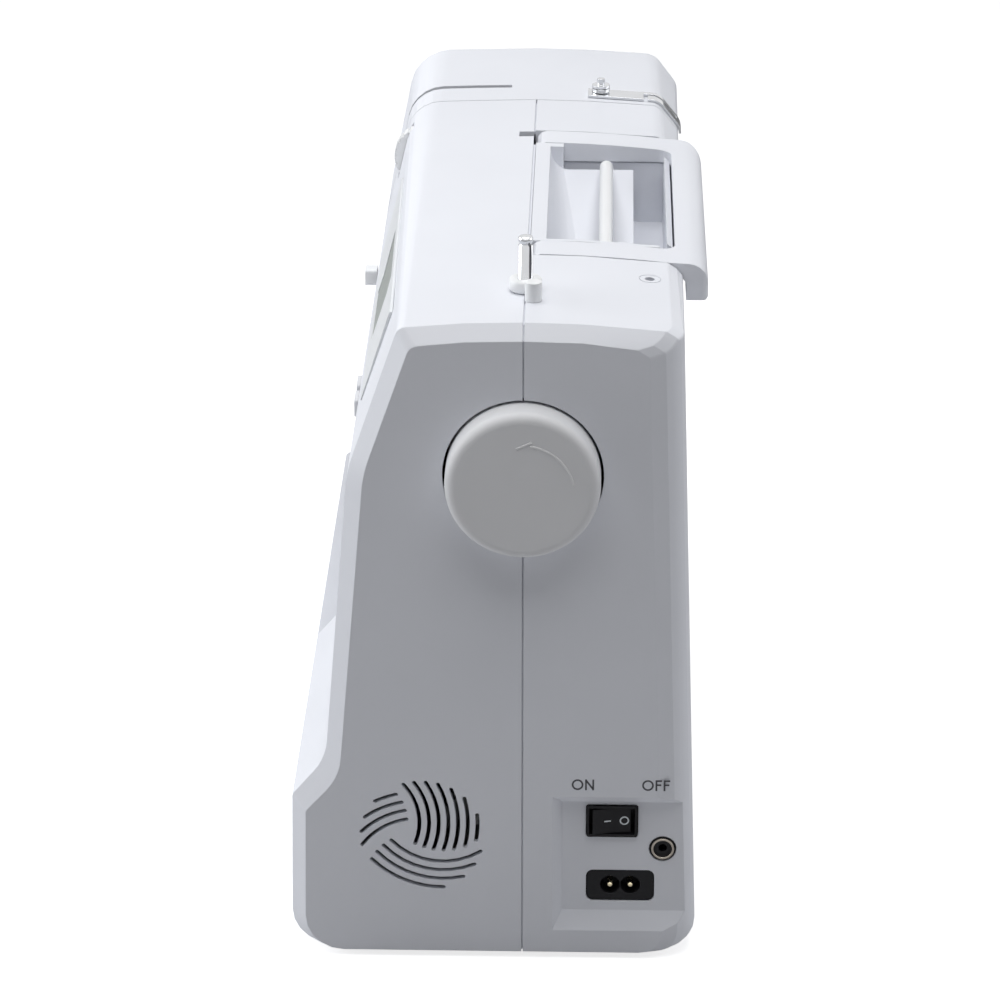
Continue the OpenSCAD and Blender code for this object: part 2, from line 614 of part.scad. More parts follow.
module main_frame() color(cast) on_machine() difference() {
  union() {
    plate_y(web_y0, web_y1) polygon(round_path([[-web_right, web_low, 3], [-web_right, tray_z - 4, 6],
      [-head_right - 3, tray_z - 4, 0], [-head_right - 3, web_top, 3], [-needle_x - 36, web_top, 3],
      [-needle_x - 36, head_under_z + 14, 3], [-head_right - 15, head_under_z + 14, 3],
      [-head_right - 15, arm_under_z + 14, 6], [-web_inner, arm_under_z + 14, 20], [-web_inner, bed_h - 11, 12],
      [-arm_tip + 12, bed_h - 11, 3], [-arm_tip + 12, arm_bottom + 9, 3], [-web_inner - 12, arm_bottom + 9, 3],
      [-web_inner - 12, web_low, 3]], 5));
    for (x = main_lugs) box([-x - lug_w, -9, shaft_z - 10], [-x, web_y0, shaft_z + 10]);
    for (x = low_lugs) box([-x - lug_w, -hook_y - 9, low_z - 9], [-x, web_y0, low_z + 9]);
    box([-needle_x - 9, -hook_y - 9, strut_z], [-needle_x + 12, web_y0, strut_z + 5]);
    for (x = [-24, 24]) {
      box([-needle_x + x - 4, 8, strut_z], [-needle_x + x + 4, web_y1, bed_h - 11]);
      box([-needle_x + x - 4, 8, bed_h - 11], [-needle_x + x + 4, plate_rear - 0.2, bed_h - plate_t]);
    }
    for (z = [guide_low, guide_high])
      box([-needle_x - 6, presser_y - 4.5, z], [-needle_x + 5.4, web_y0, z + 8]);
    rod_y(8, web_y0, -gate_x, gate_pivot_z, 5.5);
    rod_y(-5.6, 8, -gate_x, gate_pivot_z, 2.5);
    for (z = [head_under_z + 30, head_under_z + 68])
      box([-threader_x - 4, -2, z], [-threader_x + 4, web_y0, z + 6]);
    for (z = [head_under_z + 38, head_under_z + 60])
      box([-hole_lever_x - 5, hole_lever_y - 4, z], [-hole_lever_x + 5, web_y0, z + 5]);
    box([-needle_x + 26, lift_pin_y - 6, lift_pin_z - 8], [-needle_x + 34, web_y0, lift_pin_z + 8]);
    rod_x(-lever_x - lever_t / 2 - 0.6, -needle_x + 32, lift_pin_y, lift_pin_z, 2.5);
    box([-lift_pivot_x - 6, web_y1 - 6, lift_pivot_z - 4], [-lift_pivot_x + 6, web_y1, lift_pivot_z + 18]);
    rod_y(web_y1, web_y1 + 8, -lift_pivot_x, lift_pivot_z, 2.5);
    box([motor_x1, motor_y - motor_r - 1, motor_z - motor_r + 1],
      [motor_x1 + 4, web_y0, motor_z + motor_r - 1]);
    box([-web_right - 4, 8, shaft_z + 10], [-web_right, web_y1, winder_low]);
    box([-web_right - 4, -13, winder_low - 4], [-winder_x + 16, 22, winder_low]);
  }
  for (x = main_lugs) rod_x(-x - lug_w - 1, -x + 1, 0, shaft_z, bush_r);
  for (x = low_lugs) rod_x(-x - lug_w - 1, -x + 1, -hook_y, low_z, low_bush_r);
  rod_z(low_z + 12, low_z + 20, -needle_x, -hook_y, hook_bush_r);
  rod_z(head_under_z + 4, far, -needle_x, presser_y, presser_r + run_gap);
  rod_z(head_under_z + 24, head_under_z + 78, -threader_x, 2, threader_r + run_gap);
  box([-hole_lever_x - hole_bar / 2 - 0.3, hole_lever_y - hole_bar / 2 - 0.3, head_under_z + 34],
    [-hole_lever_x + hole_bar / 2 + 0.3, hole_lever_y + hole_bar / 2 + 0.3, head_under_z + 68]);
  rod_x(motor_x1 - 8, motor_x1 + 12, motor_y, motor_z, 8);
  for (z = [motor_z - 18, motor_z + 32]) rod_y(0, far, -web_inner + 40, z, 12);
  for (x = screw_x) for (z = screw_z) rod_y(0, far, -x, z, screw_r);
  for (x = [-24, 24]) rod_z(bed_h - 8, far, -needle_x + x, 14, 1.4);
}

module ring_x(x0, x1, y, z, outer, inner) difference() {
  rod_x(x0, x1, y, z, outer);
  rod_x(x0 - 1, x1 + 1, y, z, inner);
}

module shaft_bushes() color([0.72, 0.55, 0.3]) on_machine() {
  for (x = main_lugs) ring_x(-x - lug_w - 0.5, -x + 0.5, 0, shaft_z, bush_r, shaft_r + run_gap);
  for (x = low_lugs) ring_x(-x - lug_w - 0.5, -x + 0.5, -hook_y, low_z, low_bush_r, low_shaft_r + run_gap);
  difference() {
    rod_z(low_z + 13, low_z + 18.3, -needle_x, -hook_y, hook_bush_r);
    rod_z(0, far, -needle_x, -hook_y, hook_spindle_r + run_gap);
  }
}

// ---- top: spool tray, handle, pins ----
well_right = 108;
well_left = handle_end - handle_arm_w - gap;
platform_left = well_left - 5;
platform_rear = 46;
strip_y = 7.5;
hinge_x = 111;
spool_pin_z = crown - 7;
function well_path(reach, depth) = concat([[platform_rear, crown - depth], [platform_rear, crown + 6],
  [strip_y, crown + 6]], [for (a = [0:15:90]) [strip_y + reach * (1 - cos(a)), crown - depth * sin(a)]]);

module handle_space(g) for (x = [-handle_x - handle_arm_w, -handle_end]) {
  box([x - g, -1, handle_under - g], [x + handle_arm_w + g, far, far]);
  box([x - grip_round - g, grip_y0 - grip_round - g, handle_under - g],
    [x + handle_arm_w + grip_round + g, far, far]);
}

module spool_tray() color(white) on_machine() difference() {
  union() {
    difference() {
      intersection() {
        envelope(0);
        box([-handle_end + 0.1, tray_y0, tray_z], [-handle_x - 0.1, tray_rear, far]);
      }
      handle_space(gap);
      loft([[-well_right, well_path(24, 32)], [-platform_left, well_path(8, 11)]]);
      box([-platform_left, platform_rear - 1, tray_z + 6], [-well_right, tray_rear - wall, far]);
      box([-well_left - 1, strip_y + 6, tray_z + 6], [-platform_left + 0.01, tray_rear - wall, far]);
    }
    box([-well_left, 31, crown - 15], [-platform_left + 1, 36, crown - 11.5]);
    for (y = [spool_pin_y - 8.4, spool_pin_y + 5])
      box([-hinge_x - 3.4, y, crown - 30], [-well_right, y + 3.4, spool_pin_z + 3.4]);
  }
  rod_y(0, far / 8, -hinge_x, spool_pin_z, 1.5 + run_gap);
  rod_x(-handle_end + handle_arm_w - 2, -handle_end + handle_arm_w + 6, pivot_y, pivot_z, 2.5);
  rod_x(-handle_x - handle_arm_w - 6, -handle_x - handle_arm_w + 2, pivot_y, pivot_z, 2.5);
}

module handle_pins() color(steel) on_machine() {
  rod_x(-handle_x - handle_arm_w - 5.5, -handle_x + 3.5, pivot_y, pivot_z, 2.5);
  rod_x(-handle_end - 3.5, -handle_end + handle_arm_w + 5.5, pivot_y, pivot_z, 2.5);
}

grip_y0 = base_rear - 12;
grip_round = 6;
grip_y1 = base_rear + 2;
lip_y = base_rear - 7.3;
lip_round = 5;
lip_z = crown - 20;
module carry_handle() color(white) on_machine() difference() {
  intersection() {
    plate_x(-handle_end, -handle_x) polygon(concat(
      [for (a = [270:-30:90]) [pivot_y + 4.5 * cos(a), pivot_z + 4.5 * sin(a)]],
      [for (y = [12, 24, 36, 48, 60]) [y, crown_at(y)]],
      [for (a = [85:-15:-5]) [grip_y1 - 9 + 9 * cos(a), crown - 12.8 + 9 * sin(a)]],
      [[grip_y1, lip_z + 1], [grip_y1 - 1, lip_z], [lip_y, lip_z]],
      [for (a = [0:18:90])
        [lip_y - lip_round + lip_round * cos(a), handle_under - lip_round + lip_round * sin(a)]]));
    plate_z(lip_z - 1, crown + 2) polygon(round_path([[-handle_end, -5, 0], [-handle_x, -5, 0],
      [-handle_x, grip_y1, 3], [-handle_end, grip_y1, 12]], 6));
  }
  plate_z(lip_z - 1, crown + 2) polygon(round_path([[-handle_end + handle_arm_w, -9, 0],
    [-handle_x - handle_arm_w, -9, 0], [-handle_x - handle_arm_w, grip_y0, grip_round],
    [-handle_end + handle_arm_w, grip_y0, grip_round]], 6));
  rod_x(-far, 1, pivot_y, pivot_z, 2.5 + run_gap);
}

spool_tip = handle_end - 28;
module spool_pin() color(white) on_machine() {
  rod_x(-spool_tip + spool_pin_r, -hinge_x, spool_pin_y, spool_pin_z, spool_pin_r);
  translate([-spool_tip + spool_pin_r, spool_pin_y, spool_pin_z]) sphere(r = spool_pin_r, $fn = 32);
  rod_y(spool_pin_y - 4.6, spool_pin_y + 4.6, -hinge_x, spool_pin_z, spool_pin_r);
  rod_y(spool_pin_y - 7.4, spool_pin_y + 7.4, -hinge_x, spool_pin_z, 1.5);
}

module winder_slide() color([0.3, 0.3, 0.32]) on_machine() difference() {
  box([-winder_x - 9, -8, winder_low + 0.3], [-winder_x + 8, 8, winder_low + 9]);
  rod_z(winder_low, far, -winder_x, 0, winder_r + run_gap);
}

module winder_spindle() color(steel) on_machine() {
  rod_z(winder_low + 1, crown + 23.6, -winder_x, 0, winder_r);
  rod_z(winder_low + 9.3, winder_low + 12, -winder_x, 0, 8);
  rod_z(crown + 0.5, crown + 5.5, -winder_x, 0, 6.75);
}

module winder_stop() color(white) on_machine() {
  rod_z(crown, crown + 8, -stop_x, 3.4, 3.5);
  rod_z(crown - 6, crown, -stop_x, 3.4, 1.9);
}

guide_x0 = face_seam + 16;
guide_x1 = face_seam + 5;
guide_t = 1.1;
module thread_guide() color(steel) on_machine() difference() {
  low_line = [for (p = outline(-guide_x0, -0.3)) if (p[0] > nut_y - 10 && p[1] > crown - 20) p];
  top_line = [for (p = outline(-guide_x0, -0.3 - guide_t)) if (p[0] > nut_y - 10 && p[1] > crown - 20) p];
  plate_x(-guide_x0, -guide_x1) polygon(concat(top_line, [for (i = [len(low_line) - 1:-1:0]) low_line[i]]));
  box([-guide_x1 - 8, nut_y + 20, crown - 12], [-guide_x1 - 6, nut_y + 36, far]);
  box([-guide_x1 - 8, nut_y + 20, crown - 3], [-guide_x1 + 1, nut_y + 22, far]);
}

// ---- drive train ----
rim = 3;
module handwheel() color(white) on_machine() translate([0, 0, shaft_z]) rotate([0, 90, 0])
  rotate_extrude($fn = 96) polygon(concat([[0, wheel_out]],
    [for (a = [90:-15:0]) [wheel_r - 4 + 4 * cos(a), wheel_out - 4 + 4 * sin(a)]],
    [[wheel_r, -9], [wheel_r - rim, -9], [wheel_r - rim, wheel_out - rim - 1], [11, wheel_out - rim],
     [10, -12], [shaft_r, -12], [shaft_r, wheel_out - 5], [0, wheel_out - 5]]));

drive_r = 29;
timing_r = 15;
motor_pulley_r = 7;
drive_x0 = -34;
drive_x1 = -22;
timing_x0 = -60;
timing_x1 = -48;
flange = 1.6;
belt_t = 2;
belt_gap = 0.3;

module pulley(x0, x1, y, z, r) {
  rod_x(x0, x1, y, z, r);
  for (x = [x0, x1 - flange]) rod_x(x, x + flange, y, z, r + 2);
}

module main_shaft() color(steel) on_machine() {
  rod_x(crank_x0 - 0.4, wheel_out - 5.2, 0, shaft_z, shaft_r);
  pulley(drive_x0, drive_x1, 0, shaft_z, drive_r);
  pulley(timing_x0, timing_x1, 0, shaft_z, timing_r);
}

crank_x0 = -needle_x + 14.4;
crank_x1 = crank_x0 + 6.2;
module needle_crank() color(cast) on_machine() difference() {
  union() {
    plate_x(crank_x0, crank_x1) {
      circle_at(0, shaft_z, 10);
      circle_at(0, shaft_z + crank_r, 5);
      polygon([[-9, shaft_z], [9, shaft_z], [4.6, shaft_z + crank_r], [-4.6, shaft_z + crank_r]]);
      intersection() {
        circle_at(0, shaft_z, 18);
        polygon([[0, shaft_z], [-16, shaft_z - 20], [16, shaft_z - 20]]);
      }
    }
    rod_x(crank_x0 - 0.4, crank_x0 + 1, 0, shaft_z + crank_r, 3);
  }
  rod_x(-far, 0, 0, shaft_z, shaft_r);
}

module circle_at(y, z, r) translate([y, z]) circle(r = r, $fn = 48);

// Closed belt round two pulleys
module belt(x0, x1, p, pr, q, qr) plate_x(x0 + flange + belt_gap, x1 - flange - belt_gap) difference() {
  hull() {
    circle_at(p[0], p[1], pr + belt_gap + belt_t);
    circle_at(q[0], q[1], qr + belt_gap + belt_t);
  }
  hull() {
    circle_at(p[0], p[1], pr + belt_gap);
    circle_at(q[0], q[1], qr + belt_gap);
  }
}

module drive_belts() color(dark) on_machine() {
  belt(drive_x0, drive_x1, [0, shaft_z], drive_r, [motor_y, motor_z], motor_pulley_r);
  belt(timing_x0, timing_x1, [0, shaft_z], timing_r, [-hook_y, low_z], timing_r);
}

motor_shaft_r = 2.5;
module motor() color(cast) on_machine() difference() {
  union() {
    rod_x(motor_x1 - motor_len, motor_x1, motor_y, motor_z, motor_r);
    rod_x(motor_x1, motor_x1 + 5, motor_y, motor_z, 7.9);
    rod_x(motor_x1 - motor_len - 6, motor_x1 - motor_len, motor_y, motor_z, 9);
  }
  rod_x(motor_x1 - 12, 0, motor_y, motor_z, motor_shaft_r + run_gap);
}

module motor_pulley() color(steel) on_machine() {
  rod_x(motor_x1 - 11.6, drive_x1 + 2, motor_y, motor_z, motor_shaft_r);
  pulley(drive_x0, drive_x1, motor_y, motor_z, motor_pulley_r);
}

// Bevel gear: straight teeth that narrow towards the point where the two axes meet
gear_teeth = 24;
gear_r = 12;
pinion_teeth = 12;
pinion_r = 6;
gear_w = 2.5;
tooth_tip = 0.3;
tooth_root = 0.9;
module bevel(teeth, r, width, narrow) linear_extrude(width, scale = narrow) polygon(
  [for (i = [0:teeth - 1])
    for (p = [[0.12, tooth_tip], [0.38, tooth_tip], [0.55, -tooth_root], [0.95, -tooth_root]])
    (r + p[1]) * [cos((i + p[0]) * 360 / teeth), sin((i + p[0]) * 360 / teeth)]]);

module lower_shaft() color(steel) on_machine() {
  rod_x(-needle_x + pinion_r, -44, -hook_y, low_z, low_shaft_r);
  pulley(timing_x0, timing_x1, -hook_y, low_z, timing_r);
  rod_x(-needle_x + pinion_r, -needle_x + pinion_r + 9, -hook_y, low_z, 8);
  translate([-needle_x + pinion_r, -hook_y, low_z]) rotate([0, -90, 0])
    bevel(gear_teeth, gear_r, gear_w, 1 - gear_w / pinion_r);
}

hook_floor = low_z + 19;
hook_top = bed_h - 4;
module rotary_hook() color(steel) on_machine() translate([-needle_x, -hook_y, 0]) {
  difference() {
    rod_z(hook_floor, hook_top, 0, 0, hook_r);
    rod_z(hook_floor + 2, far, 0, 0, hook_r - 2);
    rotate(35) box([hook_r - 9, 0, hook_top - 5], [hook_r + 1, 8, far]);
  }
  rod_z(low_z + 10, hook_floor + 0.5, 0, 0, hook_spindle_r);
  translate([0, 0, low_z + gear_r]) rotate([180, 0, 0])
    bevel(pinion_teeth, pinion_r, gear_w, 1 - gear_w / gear_r);
}

case_floor = hook_floor + 2.4;
bobbin_z = case_floor + 1.5;
module bobbin_case() color(dark) on_machine() translate([-needle_x, -hook_y, 0]) {
  difference() {
    union() {
      rod_z(case_floor, bed_h - 2.6, 0, 0, bobbin_r + 2);
      rod_z(hook_top + 0.4, bed_h - 2.6, 0, 0, hook_r - 0.6);
      box([-hook_r - 1, -3, hook_top + 0.4], [0, 3, bed_h - 2.6]);
    }
    rod_z(case_floor + 1.2, far, 0, 0, bobbin_r + 0.8);
  }
  rod_z(case_floor, bobbin_z + 6, 0, 0, 3);
}

module bobbin() color([0.85, 0.88, 0.9]) on_machine() translate([-needle_x, -hook_y, 0]) difference() {
  union() {
    rod_z(bobbin_z, bobbin_z + 1, 0, 0, bobbin_r);
    rod_z(bobbin_z + bobbin_h - 1.1, bobbin_z + bobbin_h - 0.1, 0, 0, bobbin_r);
    rod_z(bobbin_z, bobbin_z + bobbin_h - 0.1, 0, 0, 4.5);
  }
  rod_z(0, far, 0, 0, 3 + run_gap);
}

cover_t = 1.7;
cover_hinge_y = bobbin_cover_y0 + gap + cover_t / 2;
// Clear cover hinged along its front edge
module bobbin_cover() color([0.8, 0.85, 0.9, 0.6]) on_machine() difference() {
  union() {
    box([-needle_x - bobbin_cover_x + gap, cover_hinge_y, bed_h - 0.1 - cover_t],
      [-needle_x + bobbin_cover_x - gap, bobbin_cover_y1 - gap, bed_h - 0.1]);
    rod_x(-needle_x - bobbin_cover_x + gap, -needle_x + bobbin_cover_x - gap, cover_hinge_y,
      bed_h - 0.1 - cover_t / 2, cover_t / 2);
  }
  rod_z(0, far, -needle_x + 12, bobbin_cover_y1 - 2, 1.8);
}

// ---- feed ----
feed_bar_z = bed_h - 11;
module feed_bar() color(cast) on_machine() difference() {
  box([-needle_x - 14, 3, feed_bar_z - 4], [-needle_x + 14, web_y0 - gap, feed_bar_z]);
  box([-needle_x - 7, 7, 0], [-needle_x + 7, 22, far]);
}

dog_top = bed_h - 0.5;
tooth = 1.25;
dog_teeth = floor((dog_rear - dog_front - 0.4) / tooth);
module feed_dog() color(steel) on_machine() {
  box([-needle_x - 12, dog_front + 1.5, feed_bar_z + 0.3], [-needle_x + 12, 24, feed_bar_z + 3]);
  for (x = [-feed_x, feed_x]) plate_x(-needle_x + x - 1.2, -needle_x + x + 1.2)
    polygon(concat([[dog_front, feed_bar_z + 2], [dog_rear, feed_bar_z + 2], [dog_rear, dog_top - 1]],
      [for (i = [dog_teeth - 1:-1:0]) for (p = [[1, -0.7], [0.3, 0], [0, -0.7]])
        [dog_front + 0.2 + (i + p[0]) * tooth, dog_top + p[1]]],
      [[dog_front, dog_top - 1]]));
}

// ---- needle ----
gate_low = head_under_z + 14;
gate_high = head_under_z + 84;
bar_low = bed_h + 47;
bar_top = crown - 23;
stud_z = shaft_z + crank_r - 27;
module needle_gate() color(cast) on_machine() difference() {
  union() {
    box([-gate_x - 2, -5, gate_low], [-gate_x + 2, 5, gate_pivot_z]);
    rod_x(-gate_x - 2, -gate_x + 2, 0, gate_pivot_z, 4.4);
    for (z = [gate_low, gate_high - 8]) box([-gate_x - 2, -5.4, z], [-needle_x + 5, 5.4, z + 8]);
    rod_y(-5, 5, -gate_x, gate_pivot_z, 4.4);
  }
  rod_y(-far, far, -gate_x, gate_pivot_z, 2.5 + run_gap);
  rod_z(0, gate_high + 2, -needle_x, 0, needle_bar_r + run_gap);
}

module needle_bar() color(steel) on_machine() difference() {
  union() {
    rod_z(bar_low, bar_top, -needle_x, 0, needle_bar_r);
    box([-needle_x - 3.6, -4.6, stud_z - 5], [-needle_x + 5.5, 4.6, stud_z + 5]);
    rod_x(-needle_x, rod_x1 + 0.1, 0, stud_z, 2.4);
  }
  rod_z(0, bar_low + 10, -needle_x, 0, 1.05);
}

module needle_clamp() color(steel) on_machine() {
  difference() {
    rod_z(bar_low + 1, bar_low + 9, -needle_x, 0, 5);
    rod_z(0, far, -needle_x, 0, needle_bar_r);
  }
  rod_x(-needle_x + 4.8, -needle_x + 8, 0, bar_low + 5, 1.6);
  rod_x(-needle_x + 8, -needle_x + 12, 0, bar_low + 5, 3.4);
}

needle_tip = bed_h + 19;
module needle() color(steel) on_machine() translate([-needle_x, 0, 0]) difference() {
  union() {
    rod_z(bar_low - 1, bar_low + 9.5, 0, 0, 1.02);
    translate([0, 0, bar_low - 3]) cylinder(r1 = 0.42, r2 = 1.02, h = 2, $fn = 32);
    rod_z(needle_tip + 5, bar_low - 3, 0, 0, 0.42);
    translate([0, 0, needle_tip]) cylinder(r1 = 0.06, r2 = 0.42, h = 5, $fn = 32);
  }
  rod_y(-1, 1, 0, needle_tip + 6, 0.17);
}

rod_x0 = -needle_x + 9.4;
rod_x1 = rod_x0 + 3.4;
module connecting_rod() color(cast) on_machine() difference() {
  plate_x(rod_x0, rod_x1) {
    circle_at(0, stud_z, 5);
    circle_at(0, shaft_z + crank_r, 6);
    polygon([[-3, stud_z], [3, stud_z], [3, shaft_z + crank_r], [-3, shaft_z + crank_r]]);
  }
  rod_x(-far, 0, 0, stud_z, 2.4 + run_gap);
  rod_x(-far, 0, 0, shaft_z + crank_r, 3.3);
}

eye_y = -40;
eye_z = crown - 16;
module take_up_lever() color(steel) on_machine() difference() {
  plate_x(-lever_x - lever_t / 2, -lever_x + lever_t / 2) difference() {
    union() {
      circle_at(lift_pin_y, lift_pin_z, 5.5);
      polygon([[lift_pin_y, lift_pin_z - 5], [lift_pin_y + 2, lift_pin_z + 5], [eye_y, eye_z + 3],
        [eye_y - 2, eye_z - 2.6]]);
      circle_at(eye_y, eye_z, 3.6);
    }
    circle_at(eye_y, eye_z, 1.6);
  }
  rod_x(-far, 0, lift_pin_y, lift_pin_z, 2.5 + run_gap);
}

// ---- presser ----
foot_z = bed_h + 6.3;
foot_pin_y = 6.2;
foot_pin_z = foot_z + 4.2;
presser_top = crown - 34;
module presser_bar() color(steel) on_machine() {
  rod_z(foot_z + 9, presser_top, -needle_x, presser_y, presser_r);
  difference() {
    union() {
      box([-needle_x - 4, presser_y - 4, foot_z + 9], [-needle_x + 4, presser_y + 4, foot_z + 22]);
      box([-needle_x - 3, -1.5, foot_z + 6], [-needle_x + 3, presser_y + 3.9, foot_z + 10]);
      box([-needle_x - 3, foot_pin_y - 2.1, foot_pin_z], [-needle_x + 3, foot_pin_y + 2.1, foot_z + 7]);
      rod_x(-needle_x - 3, -needle_x + 3, foot_pin_y, foot_pin_z, 2.1);
    }
    rod_z(0, far, -needle_x, 0, 3.6);
    rod_x(-needle_x - 9, -needle_x + 9, foot_pin_y, foot_pin_z, 1 + run_gap);
  }
  difference() {
    rod_z(spring_low - 6, spring_low, -needle_x, presser_y, 5.4);
    box([-needle_x + 5.2, 0, 0], [far, far, far]);
  }
}

// Spring between the bar's collar and the upper guide, swept as a helix
spring_low = head_under_z + 42;
spring_high = guide_high - gap;
spring_turns = 6;
spring_r = 4.4;
spring_wire = 0.55;
spring_steps = 14;
module presser_spring() color(steel) on_machine()
  translate([-needle_x, presser_y, spring_low + spring_wire + 0.2]) {
  steps = spring_turns * spring_steps;
  rise = spring_high - spring_low - 2 * spring_wire - 0.4;
  points = [for (i = [0:steps]) for (j = [0:5])
    let (a = 360 * i / spring_steps, b = 60 * j, r = spring_r + spring_wire * cos(b))
    [r * cos(a), r * sin(a), rise * i / steps + spring_wire * sin(b)]];
  sides = [for (i = [0:steps - 1]) for (j = [0:5])
    let (a = 6 * i + j, b = 6 * i + (j + 1) % 6) for (f = [[a, b, b + 6], [a, b + 6, a + 6]]) f];
  polyhedron(points = points, faces = concat(sides,
    [[for (j = [5:-1:0]) j], [for (j = [0:5]) 6 * steps + j]]), convexity = 8);
}

module presser_foot() color(steel) on_machine() difference() {
  union() {
    plate_z(foot_z, foot_z + 1.8) polygon(round_path([[-needle_x - 9, -9, 3], [-needle_x + 9, -9, 3],
      [-needle_x + 9, 17, 2], [-needle_x - 9, 17, 2]], 5));
    for (x = [-5.4, 3.4])
      box([-needle_x + x, foot_pin_y - 2.2, foot_z + 1],
        [-needle_x + x + 2, foot_pin_y + 2.2, foot_pin_z + 1.6]);
    rod_x(-needle_x - 4, -needle_x + 4, foot_pin_y, foot_pin_z, 1);
  }
  box([-needle_x - 4.4, -1.6, 0], [-needle_x + 4.4, 1.6, far]);
  box([-needle_x - 1.2, -far, 0], [-needle_x + 1.2, 0, far]);
  for (x = [-feed_x, feed_x]) box([-needle_x + x - 0.8, -7, 0], [-needle_x + x + 0.8, -2.6, foot_z + 0.8]);
}

lever_angle = 60;
module presser_lever() color(dark) on_machine() difference() {
  union() {
    rod_y(web_y1 + 0.3, web_y1 + 5, -lift_pivot_x, lift_pivot_z, 5.2);
    translate([-lift_pivot_x, 0, lift_pivot_z]) rotate([0, -lever_angle, 0]) {
      box([-3, web_y1 + 0.3, -32], [3, web_y1 + 5, 0]);
      plate_z(-36, -26) round_rect([-4, web_y1 + 0.3], [4, web_y1 + 18], 3);
    }
  }
  rod_y(0, far, -lift_pivot_x, lift_pivot_z, 2.5 + run_gap);
}

threader_z = head_under_z - 12;
threader_top = crown - 16;
module needle_threader() color(white) on_machine() {
  rod_z(threader_z + 2, threader_top, -threader_x, 2, threader_r);
  box([-threader_x - 4, -4, threader_z], [-threader_x + 3, 4, threader_z + 8]);
  box([-threader_x - 16, -7, threader_z], [-threader_x - 3, 3, threader_z + 4]);
  box([-threader_x + 2, -1.2, threader_z + 0.5], [-needle_x - 5.6, 1.2, threader_z + 3]);
}

module buttonhole_lever() color(white) on_machine() {
  box([-hole_lever_x - hole_bar / 2, hole_lever_y - hole_bar / 2, head_under_z - 8],
    [-hole_lever_x + hole_bar / 2, hole_lever_y + hole_bar / 2, crown - 34]);
  box([-hole_lever_x - hole_bar, hole_lever_y - 6, head_under_z - 9],
    [-hole_lever_x + hole_bar, hole_lever_y + 6, head_under_z - 2]);
}

// ---- thread tension ----
module tension_dial() color(white) on_machine() difference() {
  rod_x(-dial_x - dial_w / 2, -dial_x + dial_w / 2, -dial_y, dial_z, dial_r);
  rod_x(-far, 0, -dial_y, dial_z, post_r + run_gap);
  for (i = [0:23]) translate([0, -dial_y, dial_z]) rotate([15 * i, 0, 0])
    box([-far, -0.5, dial_r - 0.6], [0, 0.5, dial_r + 1]);
}

nut_y = 30;
disc_r = 6;
module tension_discs() color(steel) on_machine() {
  rod_x(-dial_x - dial_w / 2 - 10, -dial_x + bracket_off + bracket_t, -dial_y, dial_z, post_r);
  for (x = [0, 1.6])
    ring_x(-dial_x - dial_w / 2 - 5 - x, -dial_x - dial_w / 2 - 3.8 - x, -dial_y, dial_z, disc_r, post_r);
  translate([-guide_x0 + 4, nut_y, crown_at(nut_y) + guide_t + 0.65]) {
    rod_z(0, 1.5, 0, 0, 4.2);
    rod_z(1.9, 3.1, 0, 0, 4.2);
    rod_z(0, 6, 0, 0, 1.8);
  }
}

// ---- panel, buttons and electronics ----
knob_out = 6;
module speed_slider() color(white) on_machine() {
  rounded_block(-slider_x, slider_z, 8, 8, -front_at(slider_z) - knob_out, -front_at(slider_z) - 0.4, 1.5);
  box([-slider_x - 2, -front_at(slider_z) - 1, slider_z - 1.5],
    [-slider_x + 2, -front_at(slider_z) + wall + 1.5, slider_z + 1.5]);
  box([-slider_x - 7, -front_at(slider_z) + wall + 0.5, slider_z - 4],
    [-slider_x + 7, -front_at(slider_z) + wall + 2, slider_z + 4]);
}

// The upright block of space in front of the panel, inside its edges or inside the window's
module panel_area(g) box([-panel_left + g, -far, panel_low + g], [-panel_right - g, 0, panel_high - g]);
module window_area(g) box([-window_left + g, -far, panel_low + panel_rim + g],
  [-window_right - g, 0, panel_high - panel_rim - g]);

module control_panel() color([0.86, 0.88, 0.9]) on_machine() difference() {
  intersection() {
    slope_slab(-panel_left, -panel_right, panel_low, panel_high, 0.4, panel_sink - 0.2);
    panel_area(gap);
  }
  window_area(0);
}

module display() color([0.2, 0.25, 0.28]) on_machine() intersection() {
  slope_slab(-panel_left, -panel_right, panel_low, panel_high, 0.1, panel_sink - 0.2);
  window_area(0.2);
}

module control_board() color([0.1, 0.35, 0.2]) on_machine() {
  box([-board_left, board_y, board_low], [-board_right, board_y + board_t, panel_high - 6]);
  box([-window_left, board_y - 8, board_low + 2], [-window_right - 4, board_y, panel_high - 10]);
  for (x = [-board_left + 4, -board_right - 8])
    box([x, board_y, panel_low], [x + 4, web_y0, board_low + 4]);
}

button_out = 1.4;
module front_button(x, z, r) {
  y = front_at(z);
  rod_y(-y - button_out, -y + wall + 1, -x, z, r);
  rod_y(-y + wall + 0.9, -y + wall + 2.2, -x, z, r + 1.4);
}
module start_button() color(white) on_machine() front_button(start_x, button_z, start_r);
module reverse_button() color(white) on_machine() front_button(reverse_x, button_z, button_r);
module needle_button() color(white) on_machine() front_button(needle_key_x, button_z, button_r);

module pattern_key(x) {
  y = front_at(key_z);
  rounded_block(-x, key_z, key_w, key_h, -y - button_out, -y + wall + 1, 1.2);
  rounded_block(-x, key_z, key_w + 3, key_h + 3, -y + wall + 0.9, -y + wall + 2.2, 1.2);
}
module next_key() color(white) on_machine() pattern_key(next_x);
module back_key() color(white) on_machine() pattern_key(back_x);

module led_lamp() color([0.95, 0.95, 0.85]) on_machine() {
  rod_z(head_under_z, head_under_z + wall + 1, -lamp_x, lamp_y, lamp_r);
  rod_z(head_under_z + wall + 0.3, head_under_z + wall + 6, -lamp_x, lamp_y, lamp_r + 0.9);
}

